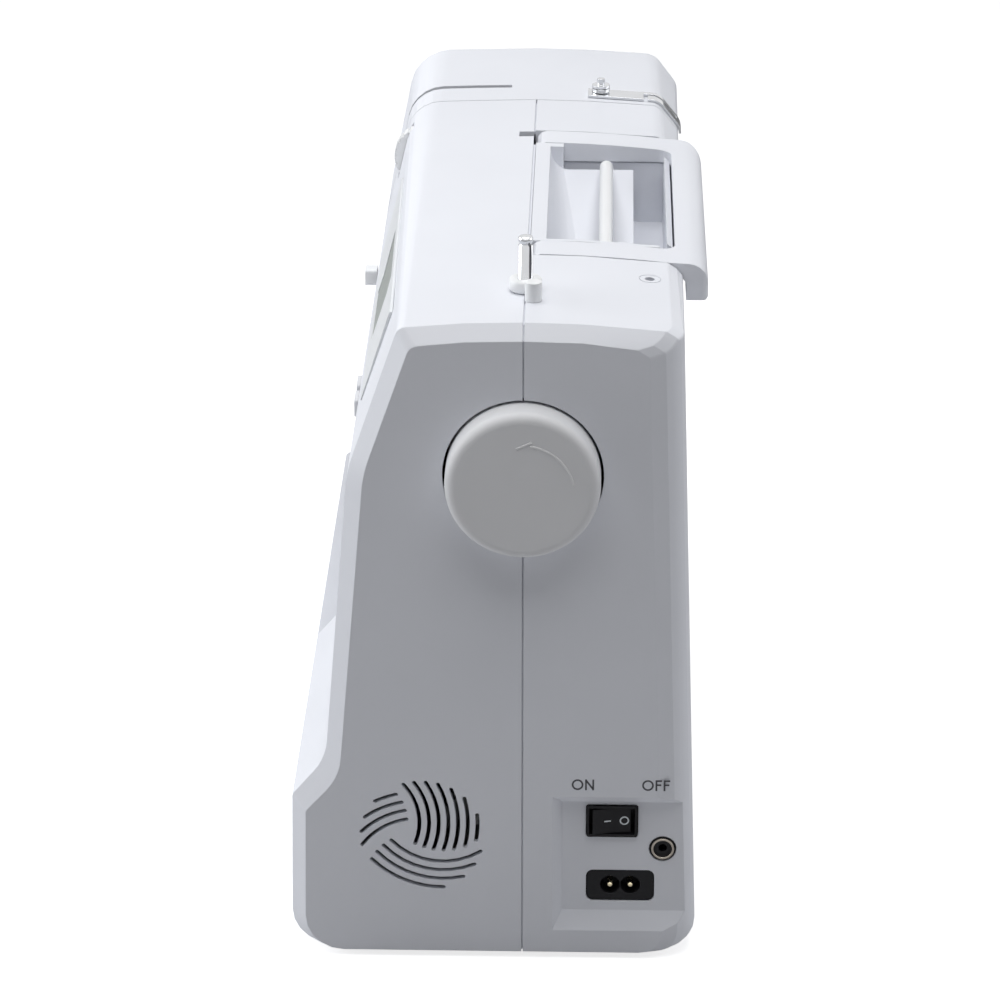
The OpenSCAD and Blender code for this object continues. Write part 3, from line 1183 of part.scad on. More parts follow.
inlet_face = recess_d + 0.8;
switch_wall = 1.4;
rocker_pin = switch_h / 2 - 0.6;
module power_module() color(dark) on_machine() difference() {
  union() {
    plate_x(-inlet_face - 12, -inlet_face)
      round_rect([inlet_y - inlet_w / 2 + 0.3, inlet_z - inlet_h / 2 + 0.3],
        [inlet_y + inlet_w / 2 - 0.3, inlet_z + inlet_h / 2 - 0.3], 2.7);
    plate_x(-recess_d - 10, -recess_d + 1.2)
      round_rect([switch_y - switch_w / 2 + 0.3, switch_z - switch_h / 2 + 0.3],
        [switch_y + switch_w / 2 - 0.3, switch_z + switch_h / 2 - 0.3], 0.8);
    box([-recess_back - 14, recess_y + 12, recess_z + 8],
      [-recess_back - 0.3, jack_y - jack_ring - 1.5, recess_top - 3]);
  }
  for (y = [-4.3, 4.3]) ring_x(-inlet_face - 9, 1, inlet_y + y, inlet_z, 4.2, 1.2);
  box([-recess_d - 9, switch_y - switch_w / 2 + switch_wall, switch_z - switch_h / 2 + switch_wall],
    [2, switch_y + switch_w / 2 - switch_wall, switch_z + switch_h / 2 - switch_wall]);
  rod_z(switch_z - rocker_pin, switch_z + rocker_pin, -recess_d - 2, switch_y, 0.8 + run_gap);
}

rock = 9;
rocker_half = switch_w / 2 - 2.8;
module rocker_switch() color(dark) on_machine() translate([-recess_d - 2, switch_y, switch_z]) {
  rod_z(-rocker_pin + 0.1, rocker_pin - 0.1, 0, 0, 0.8);
  plate_z(-switch_h / 2 + switch_wall + gap, switch_h / 2 - switch_wall - gap) polygon([
    [-3, -2], [-1, -rocker_half + 0.6], [3 + rocker_half * tan(rock) * 0.9, -rocker_half],
    [2.2, 0], [2.9 - rocker_half * tan(rock) * 0.9, rocker_half - 0.3], [-2, rocker_half - 0.8], [-3, 2]]);
}

module pedal_jack() color(dark) on_machine() difference() {
  union() {
    rod_x(-recess_back - 10, -recess_d - 0.6, jack_y, jack_z, jack_ring - 0.3);
    ring_x(-recess_d - 0.7, -recess_d + 0.6, jack_y, jack_z, 4.9, 3.9);
  }
  rod_x(-recess_back - 8, 0, jack_y, jack_z, jack_r);
}

// ---- accessory box ----
box_x1 = column_w + 0.6;
lid_right = column_w + 19;
lid_left = body_len - 24;
lid_z0 = 14;
lid_z1 = 60;
hinge_y = base_front - 1.9;
front_bay = arm_front + 0.5 + wall;
module accessory_box() color(white) on_machine() difference() {
  intersection() {
    envelope(0);
    box([-body_len + 0.1, -far, 0.4], [-box_x1, far, bed_h]);
    plate_z(0, bed_h) polygon(round_path([[-body_len - 1, -base_front - 1, 22], [0, -base_front - 1, 0],
      [0, base_rear + 1, 0], [-body_len - 1, base_rear + 1, 22]], 8));
  }
  plate_z(-1, bed_h + 1) polygon(round_path([[-arm_tip - 0.5, -arm_front - 0.5, 22.5], [0, -arm_front - 0.5, 0],
    [0, arm_rear + 0.5, 0], [-arm_tip - 0.5, arm_rear + 0.5, 22.5]], 8));
  intersection() {
    envelope(wall);
    box([-body_len + 12, -far, wall], [-box_x1 - wall, -front_bay, bed_h - wall]);
  }
  box([-body_len + 18, arm_rear + 3, -1], [-box_x1 - wall, base_rear - 3.5, bed_h - wall]);
  box([-lid_left - gap, -far, lid_z0 - 2.4], [-lid_right + gap, -base_front + 6, lid_z1 + gap]);
  rod_x(-lid_left - 4, -lid_right + 4, -hinge_y, lid_z0, 0.8);
}

module accessory_lid() color(white) on_machine() {
  difference() {
    intersection() {
      envelope(0);
      box([-lid_left, -far, lid_z0], [-lid_right, -base_front + 6, lid_z1]);
    }
    envelope(2.4);
  }
  rod_x(-lid_left, -lid_right, -hinge_y, lid_z0, 1.3);
  rod_x(-lid_left - 3.6, -lid_right + 3.6, -hinge_y, lid_z0, 0.75);
}

// ---- drawing ----
front_cover();
rear_cover();
face_cover();
base_cover();
rubber_feet();
cover_screws();
free_arm_cover();
needle_plate();
main_frame();
shaft_bushes();
spool_tray();
handle_pins();
carry_handle();
spool_pin();
winder_spindle();
winder_slide();
winder_stop();
thread_guide();
handwheel();
main_shaft();
needle_crank();
drive_belts();
motor();
motor_pulley();
lower_shaft();
rotary_hook();
bobbin_case();
bobbin();
bobbin_cover();
feed_bar();
feed_dog();
needle_gate();
needle_bar();
needle_clamp();
needle();
connecting_rod();
take_up_lever();
presser_bar();
presser_spring();
presser_foot();
presser_lever();
needle_threader();
buttonhole_lever();
tension_dial();
tension_discs();
speed_slider();
control_panel();
display();
control_board();
start_button();
reverse_button();
needle_button();
next_key();
back_key();
led_lamp();
power_module();
rocker_switch();
pedal_jack();
accessory_box();
accessory_lid();
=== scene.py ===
"""Finishes, marks and small fittings of a free-arm sewing machine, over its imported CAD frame."""

import json
import math

import bpy
import numpy as np
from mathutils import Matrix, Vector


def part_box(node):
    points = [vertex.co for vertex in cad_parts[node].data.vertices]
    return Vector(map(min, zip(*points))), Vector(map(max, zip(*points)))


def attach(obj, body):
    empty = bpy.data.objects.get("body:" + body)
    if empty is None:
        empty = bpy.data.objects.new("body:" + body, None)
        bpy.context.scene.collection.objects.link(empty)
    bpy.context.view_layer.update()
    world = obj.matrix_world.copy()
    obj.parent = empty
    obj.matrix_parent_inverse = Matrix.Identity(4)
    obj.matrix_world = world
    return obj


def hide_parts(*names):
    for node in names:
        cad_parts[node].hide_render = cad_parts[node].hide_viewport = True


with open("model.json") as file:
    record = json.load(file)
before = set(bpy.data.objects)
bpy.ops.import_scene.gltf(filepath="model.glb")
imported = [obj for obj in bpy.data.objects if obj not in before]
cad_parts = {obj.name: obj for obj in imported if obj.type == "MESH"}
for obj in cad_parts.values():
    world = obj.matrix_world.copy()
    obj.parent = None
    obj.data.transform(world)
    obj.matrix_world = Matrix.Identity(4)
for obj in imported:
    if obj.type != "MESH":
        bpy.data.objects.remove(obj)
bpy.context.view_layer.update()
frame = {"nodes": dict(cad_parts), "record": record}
nodes = frame["nodes"]

MM = 0.001
TAU = 2 * math.pi

# ---- places taken from the frame ----
wheel_low, wheel_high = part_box("handwheel")
end_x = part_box("front_cover")[1].x
seam_y = (wheel_low.y + wheel_high.y) / 2
shaft_z = (wheel_low.z + wheel_high.z) / 2
wheel_face_x = wheel_high.x
body_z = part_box("base_cover")[0].z


def on_machine(x, y, z):
    """Point in the frame, from millimetres off the end face, the seam and the body's underside."""
    return np.array([end_x + x * MM, seam_y + y * MM, body_z + z * MM])


# ---- surfaces ----
def grid_piece(name, points, closed_u=False, closed_v=True, capped=True):
    """A mesh over a grid of points [along, around, xyz]: neighbours make quads, end rings are filled."""
    along, around = points.shape[:2]
    index = np.arange(along * around).reshape(along, around)
    rows = np.concatenate([index, index[:1]]) if closed_u else index
    rows = np.concatenate([rows, rows[:, :1]], 1) if closed_v else rows
    quads = np.stack([rows[:-1, :-1], rows[1:, :-1], rows[1:, 1:], rows[:-1, 1:]], -1).reshape(-1, 4)
    faces = quads.tolist()
    if capped and not closed_u:
        faces += [index[0].tolist(), index[-1][::-1].tolist()]
    mesh = bpy.data.meshes.new(name)
    mesh.from_pydata(points.reshape(-1, 3).tolist(), [], faces)
    piece = bpy.data.objects.new(name, mesh)
    bpy.context.scene.collection.objects.link(piece)
    mesh.shade_smooth()
    return piece


def lathe(name, profile, centre, axis="x", segments=64, closed_profile=False):
    """A profile (radius, height) turned round: centre + radius * (cos t, sin t) across + height along."""
    turn = np.linspace(0, TAU, segments, endpoint=False)
    radius, height = np.array(profile, float).T
    across = np.multiply.outer(radius, np.cos(turn)), np.multiply.outer(radius, np.sin(turn))
    along = np.repeat(height[:, None], segments, 1)
    order = {"x": (along, *across), "y": (across[1], along, across[0]), "z": (*across, along)}[axis]
    return grid_piece(name, np.stack(order, -1) * MM + centre, closed_u=closed_profile)


def sweep(name, path, normal, profile, closed=False):
    """A profile (across, out) carried along a path: path + across * (tangent x normal) + out * normal."""
    path = np.array(path, float)
    if closed:
        tangent = np.roll(path, -1, 0) - np.roll(path, 1, 0)
    else:
        tangent = np.gradient(path, axis=0)
    tangent /= np.linalg.norm(tangent, axis=1, keepdims=True)
    normal = np.array(normal, float) / np.linalg.norm(normal)
    side = np.cross(tangent, normal)
    across, out = np.array(profile, float).T * MM
    points = path[:, None] + across[None, :, None] * side[:, None] + out[None, :, None] * normal
    return grid_piece(name, points[:, ::-1], closed_u=closed)


def printed_line(width, height):
    """Low trapezoid with softened shoulders, the section of a printed or moulded line."""
    half = width / 2
    return [(-half, -0.02), (half, -0.02), (half, height * 0.6), (half * 0.8, height),
            (-half * 0.8, height), (-half, height * 0.6)]


def arc(centre, radius, start, end, steps, plane="yz"):
    """Points radius * (cos t, sin t) round a centre, for t from start to end degrees."""
    t = np.radians(np.linspace(start, end, steps))
    flat = np.zeros_like(t)
    wave = {"yz": (flat, np.cos(t), np.sin(t)), "xy": (np.cos(t), np.sin(t), flat)}[plane]
    return np.array(centre) + radius * MM * np.stack(wave, -1)


def straight(start, end, steps=6):
    """Points on the line between two places."""
    return np.linspace(np.array(start), np.array(end), steps)


def dress(piece, material, body):
    """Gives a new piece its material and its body."""
    piece.data.materials.clear()
    piece.data.materials.append(material)
    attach(piece, body)
    return piece


# ---- materials ----
def shader(name, colour, roughness, metallic=0.0, **sockets):
    """A Principled material whose constant values sit on the shader's own sockets."""
    material = bpy.data.materials.new(name)
    material.use_nodes = True
    surface = material.node_tree.nodes["Principled BSDF"]
    surface.inputs["Base Color"].default_value = (*colour, 1)
    surface.inputs["Roughness"].default_value = roughness
    surface.inputs["Metallic"].default_value = metallic
    for socket, value in sockets.items():
        surface.inputs[socket.replace("_", " ")].default_value = value
    return material


def object_noise(material, scale, detail=2.0, stretch=(1, 1, 1)):
    """Noise of a material's own object space, stretched along its axes."""
    tree = material.node_tree
    place = tree.nodes.new("ShaderNodeTexCoord")
    mapping = tree.nodes.new("ShaderNodeMapping")
    mapping.inputs["Scale"].default_value = stretch
    noise = tree.nodes.new("ShaderNodeTexNoise")
    noise.inputs["Scale"].default_value = scale
    noise.inputs["Detail"].default_value = detail
    tree.links.new(place.outputs["Object"], mapping.inputs["Vector"])
    tree.links.new(mapping.outputs["Vector"], noise.inputs["Vector"])
    return noise.outputs["Fac"]


def ranged(material, value, low, high):
    """A noise value spread from low to high."""
    tree = material.node_tree
    spread = tree.nodes.new("ShaderNodeMapRange")
    spread.inputs["From Min"].default_value = 0.3
    spread.inputs["From Max"].default_value = 0.7
    spread.inputs["To Min"].default_value = low
    spread.inputs["To Max"].default_value = high
    tree.links.new(value, spread.inputs["Value"])
    return spread.outputs["Result"]


def tinted(material, value, pale, deep):
    """Base colour that drifts between two close tints."""
    tree = material.node_tree
    mix = tree.nodes.new("ShaderNodeMix")
    mix.data_type = "RGBA"
    mix.inputs["A"].default_value = (*pale, 1)
    mix.inputs["B"].default_value = (*deep, 1)
    tree.links.new(ranged(material, value, 0, 1), mix.inputs["Factor"])
    tree.links.new(mix.outputs["Result"], tree.nodes["Principled BSDF"].inputs["Base Color"])


def grained(material, value, depth, strength, edge=0.0):
    """Relief from a noise value; edge softens the shading of corners over that radius."""
    tree = material.node_tree
    bump = tree.nodes.new("ShaderNodeBump")
    bump.inputs["Distance"].default_value = depth
    bump.inputs["Strength"].default_value = strength
    tree.links.new(value, bump.inputs["Height"])
    if edge:
        soft = tree.nodes.new("ShaderNodeBevel")
        soft.samples = 4
        soft.inputs["Radius"].default_value = edge
        tree.links.new(soft.outputs["Normal"], bump.inputs["Normal"])
    tree.links.new(bump.outputs["Normal"], tree.nodes["Principled BSDF"].inputs["Normal"])


def moulded(name, colour, roughness, grain=1400, edge=0.0005, drift=0.97, **sockets):
    """Injection-moulded plastic: fine spark grain, a slow drift of tint and of gloss."""
    material = shader(name, colour, roughness, **sockets)
    slow = object_noise(material, 14)
    tinted(material, slow, colour, tuple(c * drift for c in colour))
    tree = material.node_tree
    gloss = ranged(material, object_noise(material, 40), roughness * 0.92, roughness * 1.08)
    tree.links.new(gloss, tree.nodes["Principled BSDF"].inputs["Roughness"])
    grained(material, object_noise(material, grain, 1.0), 0.00002, 0.35, edge)
    return material


def machined(name, colour, roughness, stretch=(1, 1, 1), scale=900, edge=0.0003):
    """Metal with fine tool marks, stretched along the way it was worked."""
    material = shader(name, colour, roughness, metallic=1.0)
    marks = object_noise(material, scale, 3.0, stretch)
    tree = material.node_tree
    tree.links.new(ranged(material, marks, roughness * 0.75, roughness * 1.3),
                   tree.nodes["Principled BSDF"].inputs["Roughness"])
    tinted(material, object_noise(material, 60), colour, tuple(c * 0.93 for c in colour))
    grained(material, marks, 0.00002, 0.25, edge)
    return material


finish = {
    "abs_shell": moulded("shell_white_abs", (0.79, 0.806, 0.855), 0.42, Specular_IOR_Level=0.3),
    "wheel_plastic": moulded("handwheel_white_abs", (0.78, 0.785, 0.80), 0.5, grain=1000,
                             Specular_IOR_Level=0.25),
    "white_plastic": moulded("small_parts_white", (0.84, 0.85, 0.86), 0.3, grain=1800),
    "button_plastic": moulded("button_pale_grey", (0.71, 0.72, 0.745), 0.38),
    "panel_plastic": moulded("panel_silver_grey", (0.76, 0.78, 0.80), 0.35, grain=2000),
    "grey_plastic": moulded("lever_dark_grey", (0.11, 0.115, 0.12), 0.45),
    "black_plastic": moulded("fittings_black", (0.009, 0.009, 0.011), 0.42, drift=0.8,
                             Specular_IOR_Level=0.25),
    "clear_plastic": moulded("clear_smoke_plastic", (0.82, 0.86, 0.88), 0.08,
                             Transmission_Weight=0.92, IOR=1.49),
    "display_glass": moulded("display_window", (0.30, 0.33, 0.31), 0.3, grain=300, edge=0),
    "lamp_plastic": moulded("lamp_diffuser", (0.88, 0.86, 0.78), 0.35),
    "feet_rubber": moulded("feet_rubber", (0.018, 0.018, 0.019), 0.8, grain=700, drift=0.7),
    "belt_rubber": moulded("belt_rubber", (0.02, 0.02, 0.02), 0.75, grain=500, drift=0.7),
    "steel": machined("turned_steel", (0.5, 0.51, 0.515), 0.32, stretch=(1, 6, 6)),
    "plate_steel": machined("brushed_plate_steel", (0.62, 0.62, 0.63), 0.28, stretch=(1, 14, 1)),
    "chrome": machined("bright_chrome", (0.66, 0.67, 0.69), 0.14, scale=300),
    "cast_alloy": machined("cast_alloy", (0.5, 0.51, 0.52), 0.55, scale=500),
    "motor_steel": moulded("motor_black_enamel", (0.03, 0.03, 0.033), 0.4),
    "bronze": machined("sintered_bronze", (0.55, 0.36, 0.17), 0.45),
    "board": moulded("board_green_lacquer", (0.02, 0.16, 0.07), 0.3, grain=600),
}
legend_ink = moulded("legend_dark_ink", (0.07, 0.07, 0.08), 0.6, edge=0)
mark_ink = moulded("rocker_mark_white_ink", (0.75, 0.8, 0.82), 0.5, edge=0)
# The raised arrow is the wheel's own plastic; its paler colour is a painted highlight for the light its
# ridge catches.
arrow_painted_highlight = moulded("arrow_raised_painted_highlight", (0.85, 0.85, 0.86), 0.35, edge=0)
socket_nickel = machined("socket_ring_nickel", (0.42, 0.38, 0.33), 0.2, scale=300)
pin_brass = machined("contact_brass", (0.86, 0.76, 0.52), 0.25, scale=400)
# The winder's spring wire is near black: painted shade standing in for the slot it sits in on the spindle.
spring_painted_slot_shade = machined("spring_wire_dark_painted_shade", (0.12, 0.12, 0.13), 0.35, scale=500)


def smooth_by_angle(limit):
    """Node group that joins loose triangles and keeps only edges sharper than the limit hard."""
    tree = bpy.data.node_groups.new("smooth_moulded_faces", "GeometryNodeTree")
    tree.interface.new_socket("Geometry", in_out="INPUT", socket_type="NodeSocketGeometry")
    tree.interface.new_socket("Geometry", in_out="OUTPUT", socket_type="NodeSocketGeometry")
    start = tree.nodes.new("NodeGroupInput")
    end = tree.nodes.new("NodeGroupOutput")
    weld = tree.nodes.new("GeometryNodeMergeByDistance")
    weld.inputs["Distance"].default_value = 1e-6
    angle = tree.nodes.new("GeometryNodeInputMeshEdgeAngle")
    flat = tree.nodes.new("FunctionNodeCompare")
    flat.operation = "LESS_THAN"
    flat.inputs["B"].default_value = math.radians(limit)
    faces = tree.nodes.new("GeometryNodeSetShadeSmooth")
    edges = tree.nodes.new("GeometryNodeSetShadeSmooth")
    edges.domain = "EDGE"
    tree.links.new(start.outputs[0], weld.inputs["Geometry"])
    tree.links.new(weld.outputs["Geometry"], faces.inputs["Geometry"])
    tree.links.new(faces.outputs["Geometry"], edges.inputs["Geometry"])
    tree.links.new(angle.outputs["Unsigned Angle"], flat.inputs["A"])
    tree.links.new(flat.outputs["Result"], edges.inputs["Shade Smooth"])
    tree.links.new(edges.outputs["Geometry"], end.inputs[0])
    return tree


slot_of = {entry["node"]: entry["material_slot"] for entry in frame["record"]["subparts"]}
SMOOTH_LIMIT = 28
KEEN_LIMIT = 11  # keeps the shallow bevels of the power recess crisp
smoothing = smooth_by_angle(SMOOTH_LIMIT)
keen_smoothing = smooth_by_angle(KEEN_LIMIT)
for name, node in nodes.items():
    node.data.materials.clear()
    node.data.materials.append(finish[slot_of[name]])
    smooth = node.modifiers.new("smooth", "NODES")
    smooth.node_group = keen_smoothing if name == "rear_cover" else smoothing
    weigh = node.modifiers.new("weigh", "WEIGHTED_NORMAL")
    weigh.keep_sharp = True

# ---- legends beside the switch ----
LETTER_H = 5.0
ROUND_W = 4.9
N_SPAN = 3.4
F_SPAN = 2.7
F_WAIST = 2.4
STROKE = 0.75
LEGEND_X = 0.02
LEGEND_Z = 77.4
ink_section = printed_line(STROKE, 0.06)


def legend_stroke(name, path, closed=False):
    """One pen stroke of a legend, printed on the end face."""
    piece = sweep(name, path, (1, 0, 0), ink_section, closed)
    return dress(piece, legend_ink, "machine")


def letter_o(name, left, width):
    """A round letter: an ellipse of the letter's width and height."""
    t = np.linspace(0, TAU, 40, endpoint=False)
    y = left + width / 2 + (width - STROKE) / 2 * np.cos(t)
    z = LEGEND_Z + LETTER_H / 2 + (LETTER_H - STROKE) / 2 * np.sin(t)
    path = np.stack([np.full_like(t, LEGEND_X), y, z], -1) * MM + on_machine(0, 0, 0)
    legend_stroke(name, path, closed=True)


def letter_lines(name, left, lines):
    """A straight letter from lines between places (y, z) of its own box."""
    for i, (a, b) in enumerate(lines):
        start, end = (on_machine(LEGEND_X, left + p[0], LEGEND_Z + p[1]) for p in (a, b))
        legend_stroke(f"{name}_{i}", straight(start, end))


edge_in = STROKE / 2
top_in = LETTER_H - STROKE / 2
upright = ((edge_in, 0), (edge_in, LETTER_H))
n_lines = [upright, ((edge_in, top_in), (N_SPAN, edge_in)), ((N_SPAN, 0), (N_SPAN, LETTER_H))]
f_lines = [upright, ((edge_in, top_in), (F_SPAN, top_in)), ((edge_in, F_SPAN), (F_WAIST, F_SPAN))]
letter_o("legend_on_o", 20.7, ROUND_W)
letter_lines("legend_on_n", 26.3, n_lines)
letter_o("legend_off_o", 50.2, ROUND_W)
for k, left in enumerate((55.8, 59.2)):
    letter_lines(f"legend_off_f{k}", left, f_lines)

# ---- turning arrow on the handwheel ----
ARROW_RADIUS = 21
ARROW_DROP = 2.6
arrow_centre = np.array([wheel_face_x, seam_y, shaft_z])
arrow_section = printed_line(0.8, 0.3)
# The arrow's paler colour than the wheel is a painted highlight.
curve = arc(arrow_centre - np.array([0, 0, ARROW_DROP]) * MM, ARROW_RADIUS, 10, 82, 40)
dress(sweep("arrow_arc", curve, (1, 0, 0), arrow_section), arrow_painted_highlight, "main_drive")
tip = arrow_centre + np.array([0, 3.6, 19.9]) * MM
barb = arrow_centre + np.array([0, -2.6, 17.1]) * MM
dress(sweep("arrow_barb", straight(tip, barb), (1, 0, 0), arrow_section), arrow_painted_highlight, "main_drive")

# ---- rocker marks ----
ROCKER_X, ROCKER_Y, ROCKER_Z = -6.0, 37.8, 61.1
FACE_RISE = 2.2
mark_section = printed_line(0.6, 0.05)
slope_off, slope_on = 0.469 / 7.9, 1.969 / 8.2  # rise over run of the rocker's two planes


def rocker_face(y):
    """Height of the rocker's face off the end face: two planes that meet in a valley at its middle."""
    return ROCKER_X + FACE_RISE + np.where(y < 0, -y * slope_on, -y * slope_off)


t = np.linspace(0, TAU, 40, endpoint=False)
OFF_MARK_Y, OFF_MARK_R = 5.2, 1.7
ring_y, ring_z = OFF_MARK_Y + OFF_MARK_R * np.cos(t), OFF_MARK_R * np.sin(t)
ring = np.stack([rocker_face(ring_y), ROCKER_Y + ring_y, ROCKER_Z + ring_z], -1) * MM + on_machine(0, 0, 0)
dress(sweep("rocker_off_mark", ring, (1, slope_off, 0), mark_section, closed=True), mark_ink,
      "rocker_switch")
dash_y = np.linspace(-3.3, -0.5, 8)
dash_z = np.full_like(dash_y, ROCKER_Z)
dash = np.stack([rocker_face(dash_y), ROCKER_Y + dash_y, dash_z], -1) * MM + on_machine(0, 0, 0)
dress(sweep("rocker_on_mark", dash, (1, slope_on, 0), mark_section), mark_ink,
      "rocker_switch")

# ---- contacts of the inlet and the pedal socket ----
INLET_Z = 30.2
JACK_Y, JACK_Z = 59.3, 48.1
for k, y in enumerate((37.2, 45.8)):
    pin = [(1.23, -13.6), (1.23, -5.3), (1.1, -4.9), (0.75, -4.6), (0.3, -4.48)]
    dress(lathe(f"inlet_pin_{k}", pin, on_machine(0, y, INLET_Z), segments=32), pin_brass, "machine")
socket_ring = [(3.88, -4.3), (3.88, -3.45), (4.05, -3.3), (4.7, -3.3), (4.93, -3.5), (4.93, -4.3),
               (4.4, -4.5)]
dress(lathe("pedal_socket_ring", socket_ring, on_machine(0, JACK_Y, JACK_Z), closed_profile=True),
      socket_nickel, "machine")

# ---- bobbin winder ----
WINDER_X = -43.9
winder_place = on_machine(WINDER_X, 0, 0)
shaft = [(2.4, 263), (3, 263.5), (3, 271.3), (8, 271.5), (8, 273.8), (3, 274), (3, 303.6), (2.5, 304),
         (2.5, 304.8), (3, 305.2), (3, 306.8), (2.6, 307.4), (1.6, 307.6)]
winder_shaft = dress(lathe("winder_shaft", shaft, winder_place, axis="z"), finish["chrome"],
                     "winder_spindle")
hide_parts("winder_spindle")
disc = [(3.02, 284.5), (6.3, 284.5), (6.75, 284.9), (6.75, 288.7), (6.4, 289.3), (5.9, 289.5), (3.3, 289.5),
        (3.02, 289.2)]
dress(lathe("winder_disc", disc, winder_place, axis="z", closed_profile=True), finish["white_plastic"],
      "winder_spindle")
WIRE_R = 0.45
SPRING_FOOT, SPRING_RISE = 290, 14.6
wire = [(WIRE_R * math.cos(a), WIRE_R * math.sin(a)) for a in np.linspace(0, TAU, 10, endpoint=False)]
rise = np.linspace(0, 1, 24)
bow = 3.0 + 0.25 * np.sin(math.pi * rise)
# The springs' dark colour is painted shade of the spindle's slot.
for k, side in enumerate((40, 220)):
    turn = math.radians(side)
    path = np.stack([bow * math.cos(turn), bow * math.sin(turn), SPRING_FOOT + SPRING_RISE * rise], -1)
    path = path * MM + winder_place
    dress(sweep(f"winder_spring_{k}", path, (math.cos(turn), math.sin(turn), 0), wire), spring_painted_slot_shade,
          "winder_spindle")

# ---- tongue behind the joint of the two covers ----
tongue = [(1.1, -1.0), (2.4, -1.0), (2.4, 0.75), (1.1, 0.75)]
CROWN = 284
tongue_runs = {
    "end_low": [(0, 0.6), (0, 186.4)],
    "end_high": [(0, 253.4), (0, 278), (-6, CROWN), (-38.5, CROWN)],
    "by_winder": [(-53.5, CROWN), (-86.5, CROWN)],
    "by_handle": [(-107, CROWN), (-239, CROWN)],
    "by_head": [(-258, CROWN), (-301, CROWN)],
}
for place, run in tongue_runs.items():
    corners = np.array(run, float)
    path = np.concatenate([np.linspace(a, b, 5, endpoint=False) for a, b in zip(corners, corners[1:])]
                          + [corners[-1:]])
    path = np.stack([path[:, 0], np.zeros(len(path)), path[:, 1]], -1) * MM + on_machine(0, 0, 0)
    piece = sweep("seam_tongue_" + place, path, (0, 1, 0), tongue)
    piece.data.shade_flat()
    dress(piece, finish["abs_shell"], "machine")

# ---- ring round the second spool pin's hole ----
SECOND_PIN_X, SECOND_PIN_Y = -65.8, 51.1
SECOND_PIN_TOP = 281.48
SECOND_PIN_FALL = 0.0735  # how far the top sinks for each millimetre towards the rear
pin_place = on_machine(SECOND_PIN_X, SECOND_PIN_Y, SECOND_PIN_TOP)
pin_ring = arc(pin_place, 4.5, 0, 360, 49, "xy")[:-1]
pin_ring[:, 2] = pin_place[2] - (pin_ring[:, 1] - pin_place[1]) * SECOND_PIN_FALL
dress(sweep("second_pin_ring", pin_ring, (0, SECOND_PIN_FALL, 1), printed_line(0.2, 0.03), closed=True),
      finish["abs_shell"], "machine")

# ---- camera ----
FOCAL_PIXELS = 4100
PICTURE_PIXELS = 1000
camera_data = bpy.data.cameras.new("camera")
camera_data.sensor_width = 36
camera_data.lens = camera_data.sensor_width * FOCAL_PIXELS / PICTURE_PIXELS
camera_data.clip_end = 20
camera = bpy.data.objects.new("camera", camera_data)
bpy.context.scene.collection.objects.link(camera)
down, aside = math.radians(23), math.radians(1.48)
camera.location = on_machine(1535, 30.3, 860.9)
camera.rotation_euler = (math.pi / 2 - down, 0, math.pi / 2 + aside)
bpy.context.scene.camera = camera

# ---- studio ----
def softbox(name, place, target, size, power, colour=(1, 1, 1)):
    """A rectangular area lamp that faces a target."""
    data = bpy.data.lights.new(name, "AREA")
    data.shape = "RECTANGLE"
    data.size, data.size_y = size
    data.energy = power
    data.color = colour
    lamp = bpy.data.objects.new(name, data)
    bpy.context.scene.collection.objects.link(lamp)
    lamp.location = place
    aim = np.array(target, float) - np.array(place, float)
    lamp.rotation_euler = Vector(aim).to_track_quat("-Z", "Y").to_euler()
    return lamp


softbox("softbox_top", (0.17, 0.0, 1.5), (0.05, 0, 0.2), (1.1, 1.5), 16.6)
softbox("softbox_front", (-0.15, -1.5, 0.5), (0.0, 0, 0.12), (1.4, 1.2), 20, (0.97, 0.985, 1.0))
softbox("softbox_rear", (-0.15, 1.5, 0.5), (0.0, 0, 0.12), (1.4, 1.2), 7.4, (0.97, 0.98, 1.0))

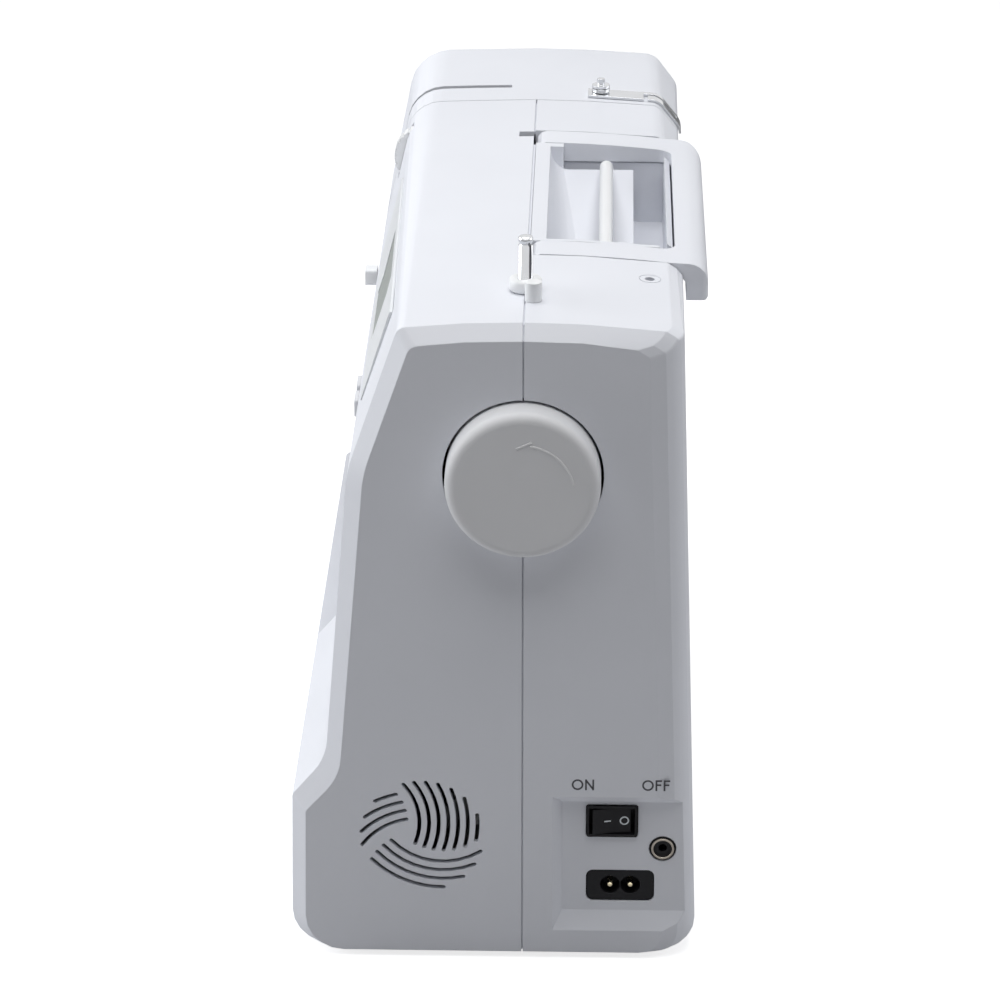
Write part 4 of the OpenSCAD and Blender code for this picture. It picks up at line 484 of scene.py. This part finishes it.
AMBIENT = 0.05
FLOOR_GLOW = 0.75
world = bpy.data.worlds.new("studio")
bpy.context.scene.world = world
world.use_nodes = True
tree = world.node_tree
tree.nodes.clear()
out = tree.nodes.new("ShaderNodeOutputWorld")
ray = tree.nodes.new("ShaderNodeLightPath")
seen = ray.outputs["Is Camera Ray"]
for kind in ("Is Glossy Ray", "Is Transmission Ray"):
    either = tree.nodes.new("ShaderNodeMath")
    either.operation = "MAXIMUM"
    tree.links.new(seen, either.inputs[0])
    tree.links.new(ray.outputs[kind], either.inputs[1])
    seen = either.outputs[0]
white = tree.nodes.new("ShaderNodeBackground")
white.inputs["Color"].default_value = (1, 1, 1, 1)
soft = tree.nodes.new("ShaderNodeBackground")
soft.inputs["Color"].default_value = (0.93, 0.95, 1.0, 1)
soft.inputs["Strength"].default_value = AMBIENT
mix = tree.nodes.new("ShaderNodeMixShader")
tree.links.new(seen, mix.inputs["Fac"])
tree.links.new(soft.outputs[0], mix.inputs[1])
tree.links.new(white.outputs[0], mix.inputs[2])
tree.links.new(mix.outputs[0], out.inputs["Surface"])

floor_mesh = bpy.data.meshes.new("floor")
HALF_FLOOR = 6
floor_corners = [(x * HALF_FLOOR, y * HALF_FLOOR, 0) for x, y in ((-1, -1), (1, -1), (1, 1), (-1, 1))]
floor_mesh.from_pydata(floor_corners, [], [(0, 1, 2, 3)])
floor = bpy.data.objects.new("floor", floor_mesh)
bpy.context.scene.collection.objects.link(floor)
floor_material = shader("floor_paper", (0.62, 0.62, 0.63), 0.9)
tree = floor_material.node_tree
surface = tree.nodes["Principled BSDF"]
glow = tree.nodes.new("ShaderNodeEmission")
ray = tree.nodes.new("ShaderNodeLightPath")
add = tree.nodes.new("ShaderNodeAddShader")
lit = tree.nodes.new("ShaderNodeMath")
lit.operation = "MULTIPLY"
lit.inputs[1].default_value = FLOOR_GLOW
tree.links.new(ray.outputs["Is Camera Ray"], lit.inputs[0])
tree.links.new(lit.outputs[0], glow.inputs["Strength"])
tree.links.new(surface.outputs[0], add.inputs[0])
tree.links.new(glow.outputs[0], add.inputs[1])
tree.links.new(add.outputs[0], tree.nodes["Material Output"].inputs["Surface"])
floor_mesh.materials.append(floor_material)

bpy.context.scene.view_settings.view_transform = "Standard"
